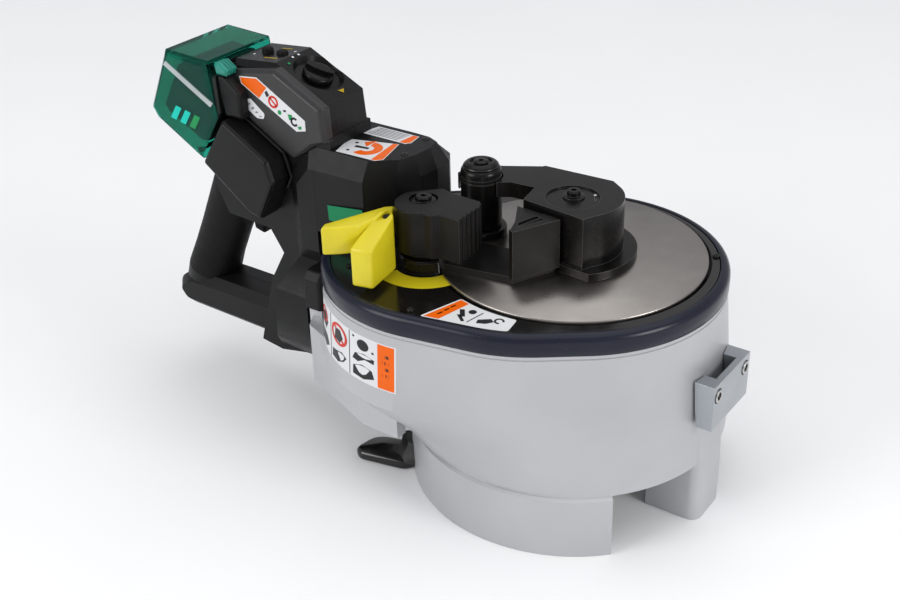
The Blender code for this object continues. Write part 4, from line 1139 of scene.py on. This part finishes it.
BADGE = [(-203.6, 225.8), (-197, 227.4), (-186.4, 219.4), (-187.6, 215.8), (-193.2, 215.4), (-203.2, 221.6)]
label("side_badge", "charcoal", on_near(RAIL_Y), [rounded(BADGE, 1.2)],
      ("_marks", "grey_ink", [[(3 * k - 200.6, 222.6 - 1.8 * k), (3 * k - 199.2, 222.2 - 1.8 * k),
                               (3 * k - 197.4, 224.2 - 2.4 * k), (3 * k - 198.6, 224.8 - 2.4 * k)]
                              for k in range(4)]))


def slanted(x, z):
    """Leaning bar on the battery cover's near side."""
    return [(x, z), (x + 4.6, z - 1), (x + 10.6, z + 8), (x + 6, z + 9)]


for ink, places in (("teal", ((-256, 207.5), (-248, 206))), ("leaf", ((-240, 204.5),))):
    decal("cover_mark_" + ink, ink, "cover", [slanted(x, z) for x, z in places],
          on_near(COVER_NEAR))
decal("hood_badge", "badge_green", "machine",
      [[(-139, 160), (-139.5, 170), (-112, 173.6), (-108, 160)]], on_near(-60))


def on_panel(u, v, h):
    """Point on the control box's nearly level rear face."""
    return (u, v, 248 + (u + 214) / 33 * 3 + h)


def on_panel_slope(u, v, h):
    """Point beside the dial, u down the sloping face and v across it."""
    return tuple(Matrix.Rotation(DIAL_TILT, 4, "Y") @ Vector((u, v, h)) + Vector(DIAL_AT))


decal("panel_marks", "amber", "machine",
      [[(-196, -44.5), (-186, -43.8), (-186, -42.6), (-196, -43.3)],
       [(-198, -25.5), (-190, -24.9), (-190, -23.9), (-198, -24.5)]], on_panel)
PANEL_DOTS = ((-208, -40, 0.8), (-208, -30, 0.8), (-196, -28.6, 0.8), (-184.6, -28, 0.9))
decal("panel_dots", "white", "machine",
      [circle((x, y), r, 14) for x, y, r in PANEL_DOTS], on_panel)
decal("dial_dot_green", "leaf", "machine", [circle((-15, -11.4), 0.9, 14)], on_panel_slope, 0.3)
decal("dial_dots", "white", "machine", [circle((-18.3, y), 0.8, 14) for y in (-4.4, 1)],
      on_panel_slope, 0.3)
decal("dial_pointer", "amber", "machine", [[(18.2, -2.6), (18.6, 2.4), (21.4, -0.6)]],
      on_panel_slope, 0.3)


def on_drum(u, v, h):
    """u is the angle in degrees round the turntable axis, v the height."""
    angle = math.radians(u)
    radius = hull_radius(angle) + 2.5 * (CASE_TOP - v) / (CASE_TOP - BELLY_Z) + 0.05 + h
    return (radius * math.cos(angle), radius * math.sin(angle), v)


def on_belly(u, v, h):
    """Machine point on the drum's side from label coordinates in millimetres."""
    return on_drum(-127.4 + u / 1.95, v, h)


def strip_of(u0, u1, v0, v1, steps=6):
    """Rectangle in narrow columns, so that it bends round the drum."""
    edges = [u0 + (u1 - u0) * i / steps for i in range(steps + 1)]
    return [[(a, v0), (b, v0), (b, v1), (a, v1)] for a, b in zip(edges, edges[1:])]


LABEL_LOW, LABEL_HIGH = 96.8, 127.6
LABEL_RULES = [rule for u in (3.4, -14.4, -31.4)
               for rule in strip_of(u, u + 0.4, LABEL_LOW + 0.5, LABEL_HIGH - 0.5, 1)]
LABEL_TEXT = [column for k in range(4)
              for column in strip_of(24 + 1.4 * (k % 2), 27.6, 106 + 4.2 * k, 108 + 4.2 * k, 2)]
PICTOGRAMS = [
    [(6, 99.4), (13, 98.8), (19.4, 101.6), (18, 106.6), (12, 108.2), (6.2, 105.4)],
    [(5.8, 110), (9.4, 109.2), (14, 112.4), (19.2, 111.6), (19.4, 114.4), (13.2, 116), (7.4, 114.2)],
    circle((12.6, 121.4), 3.6, 20), [(5.6, 124.6), (18.8, 118), (19.4, 119.2), (6.2, 125.8)],
    [(-12.4, 99.4), (-6.6, 98.6), (-1.4, 101.6), (1, 105.2), (-3, 107.2), (-8.4, 105.4), (-12, 104.8)],
    [(-9.4, 113.8), (-4.6, 112.8), (-1.8, 117), (-4.2, 121.6), (-8.6, 121)],
    [(-29.4, 99), (-22, 98.4), (-17, 102.4), (-20, 107), (-27.4, 107.8)],
    [(-28.4, 112), (-21.6, 111), (-18.4, 116.6), (-22, 122.4), (-27.4, 120)], circle((-36, 110), 1.8, 14)]
label("drum_label", "silver", on_belly, strip_of(-39, 31, LABEL_LOW, LABEL_HIGH, 30),
      ("_end", "orange", strip_of(21.4, 30.2, LABEL_LOW + 0.8, LABEL_HIGH - 0.8)),
      ("_rules", "ink", LABEL_RULES + LABEL_TEXT), ("_marks", "ink", PICTOGRAMS))
decal("drum_label_red", "red", "machine",
      [ring_band(5.6, 7.2, 0, 359, (-5.4, 118), 36),
       [(-10.2, 121.9), (-9.2, 123), (-0.6, 114.1), (-1.6, 113)],
       ring_band(3.8, 5, 0, 359, (-24, 119.6), 30)], on_belly, 0.26)


# ------------------------------------------------- CAD nodes that show as they are
SHOWN_AS_CAD = {
    "turntable_shaft": "steel", "output_gear": "steel", "layshaft_a": "steel", "layshaft_b": "steel",
    "motor_stator": "copper", "motor_rotor": "steel", "cooling_fan": "body", "main_bearing": "steel",
    "shaft_bearing": "steel", "layshaft_bearing_a": "steel", "layshaft_bearing_b": "steel",
    "controller_board": "board", "switch_module": "body", "terminal_block": "body", "trigger_pin": "steel",
    "cover_hinge_pin": "steel"}
for node, look in SHOWN_AS_CAD.items():
    mesh = frame["nodes"][node].data
    mesh.materials.clear()
    mesh.materials.append(LOOKS[look])


# ----------------------------------------------------------------------- stage
def stage():
    floor_mesh = bpy.data.meshes.new("floor")
    bm = bmesh.new()
    size = 6
    for x, y in ((-size, -size), (size, -size), (size, size), (-size, size)):
        bm.verts.new((x, y, -0.0002))
    bm.faces.new(bm.verts)
    bm.to_mesh(floor_mesh)
    bm.free()
    floor = object_of(floor_mesh, "floor")
    pale, paler = (0.92, 0.92, 0.92), (0.94, 0.94, 0.94)
    floor_mesh.materials.append(surface("floor_pale", pale, paler, (0.7, 0.8), 0, 3))
    scene = bpy.context.scene
    background = bpy.data.worlds.new("studio")
    background.use_nodes = True
    scene.world = background
    shade = background.node_tree.nodes["Background"]
    shade.inputs["Color"].default_value = (0.95, 0.96, 1, 1)
    shade.inputs["Strength"].default_value = 0.5
    scene.view_settings.view_transform = "Standard"
    lights = (("key", (-1, -1.9, 1.1), 1.2, 23), ("overhead", (0.1, 0.3, 3.4), 4.2, 50),
              ("side", (1.8, -0.1, 0.8), 0.7, 14))
    for name, place, size, power in lights:
        data = bpy.data.lights.new(name, "AREA")
        data.size = size
        data.energy = power
        lamp = object_of(data, name)
        lamp.location = place
        aim = Vector((0, 0, 0.12)) - Vector(place)
        lamp.rotation_mode = "QUATERNION"
        lamp.rotation_quaternion = aim.to_track_quat("-Z", "Y")


def camera():
    """Camera above and beside the bracket end, with a slight roll."""
    azimuth, elevation, roll = math.radians(36.07), math.radians(29.83), math.radians(1.66)
    eye = (353.7, -611.9, DECK + 372.5)
    ahead = Vector((-math.sin(azimuth) * math.cos(elevation), math.cos(azimuth) * math.cos(elevation),
                    -math.sin(elevation)))
    right = ahead.cross(Vector((0, 0, 1))).normalized()
    up = right.cross(ahead)
    across = right * math.cos(roll) - up * math.sin(roll)
    upward = right * math.sin(roll) + up * math.cos(roll)
    data = bpy.data.cameras.new("camera")
    data.lens = 52.92
    data.sensor_width = 36
    data.clip_start = 0.05
    data.clip_end = 20
    cam = object_of(data, "camera")
    cam.rotation_mode = "QUATERNION"
    turn = Matrix((across, upward, -ahead)).transposed()
    cam.rotation_quaternion = turn.to_quaternion()
    cam.location = world(eye)
    bpy.context.scene.camera = cam


stage()
camera()
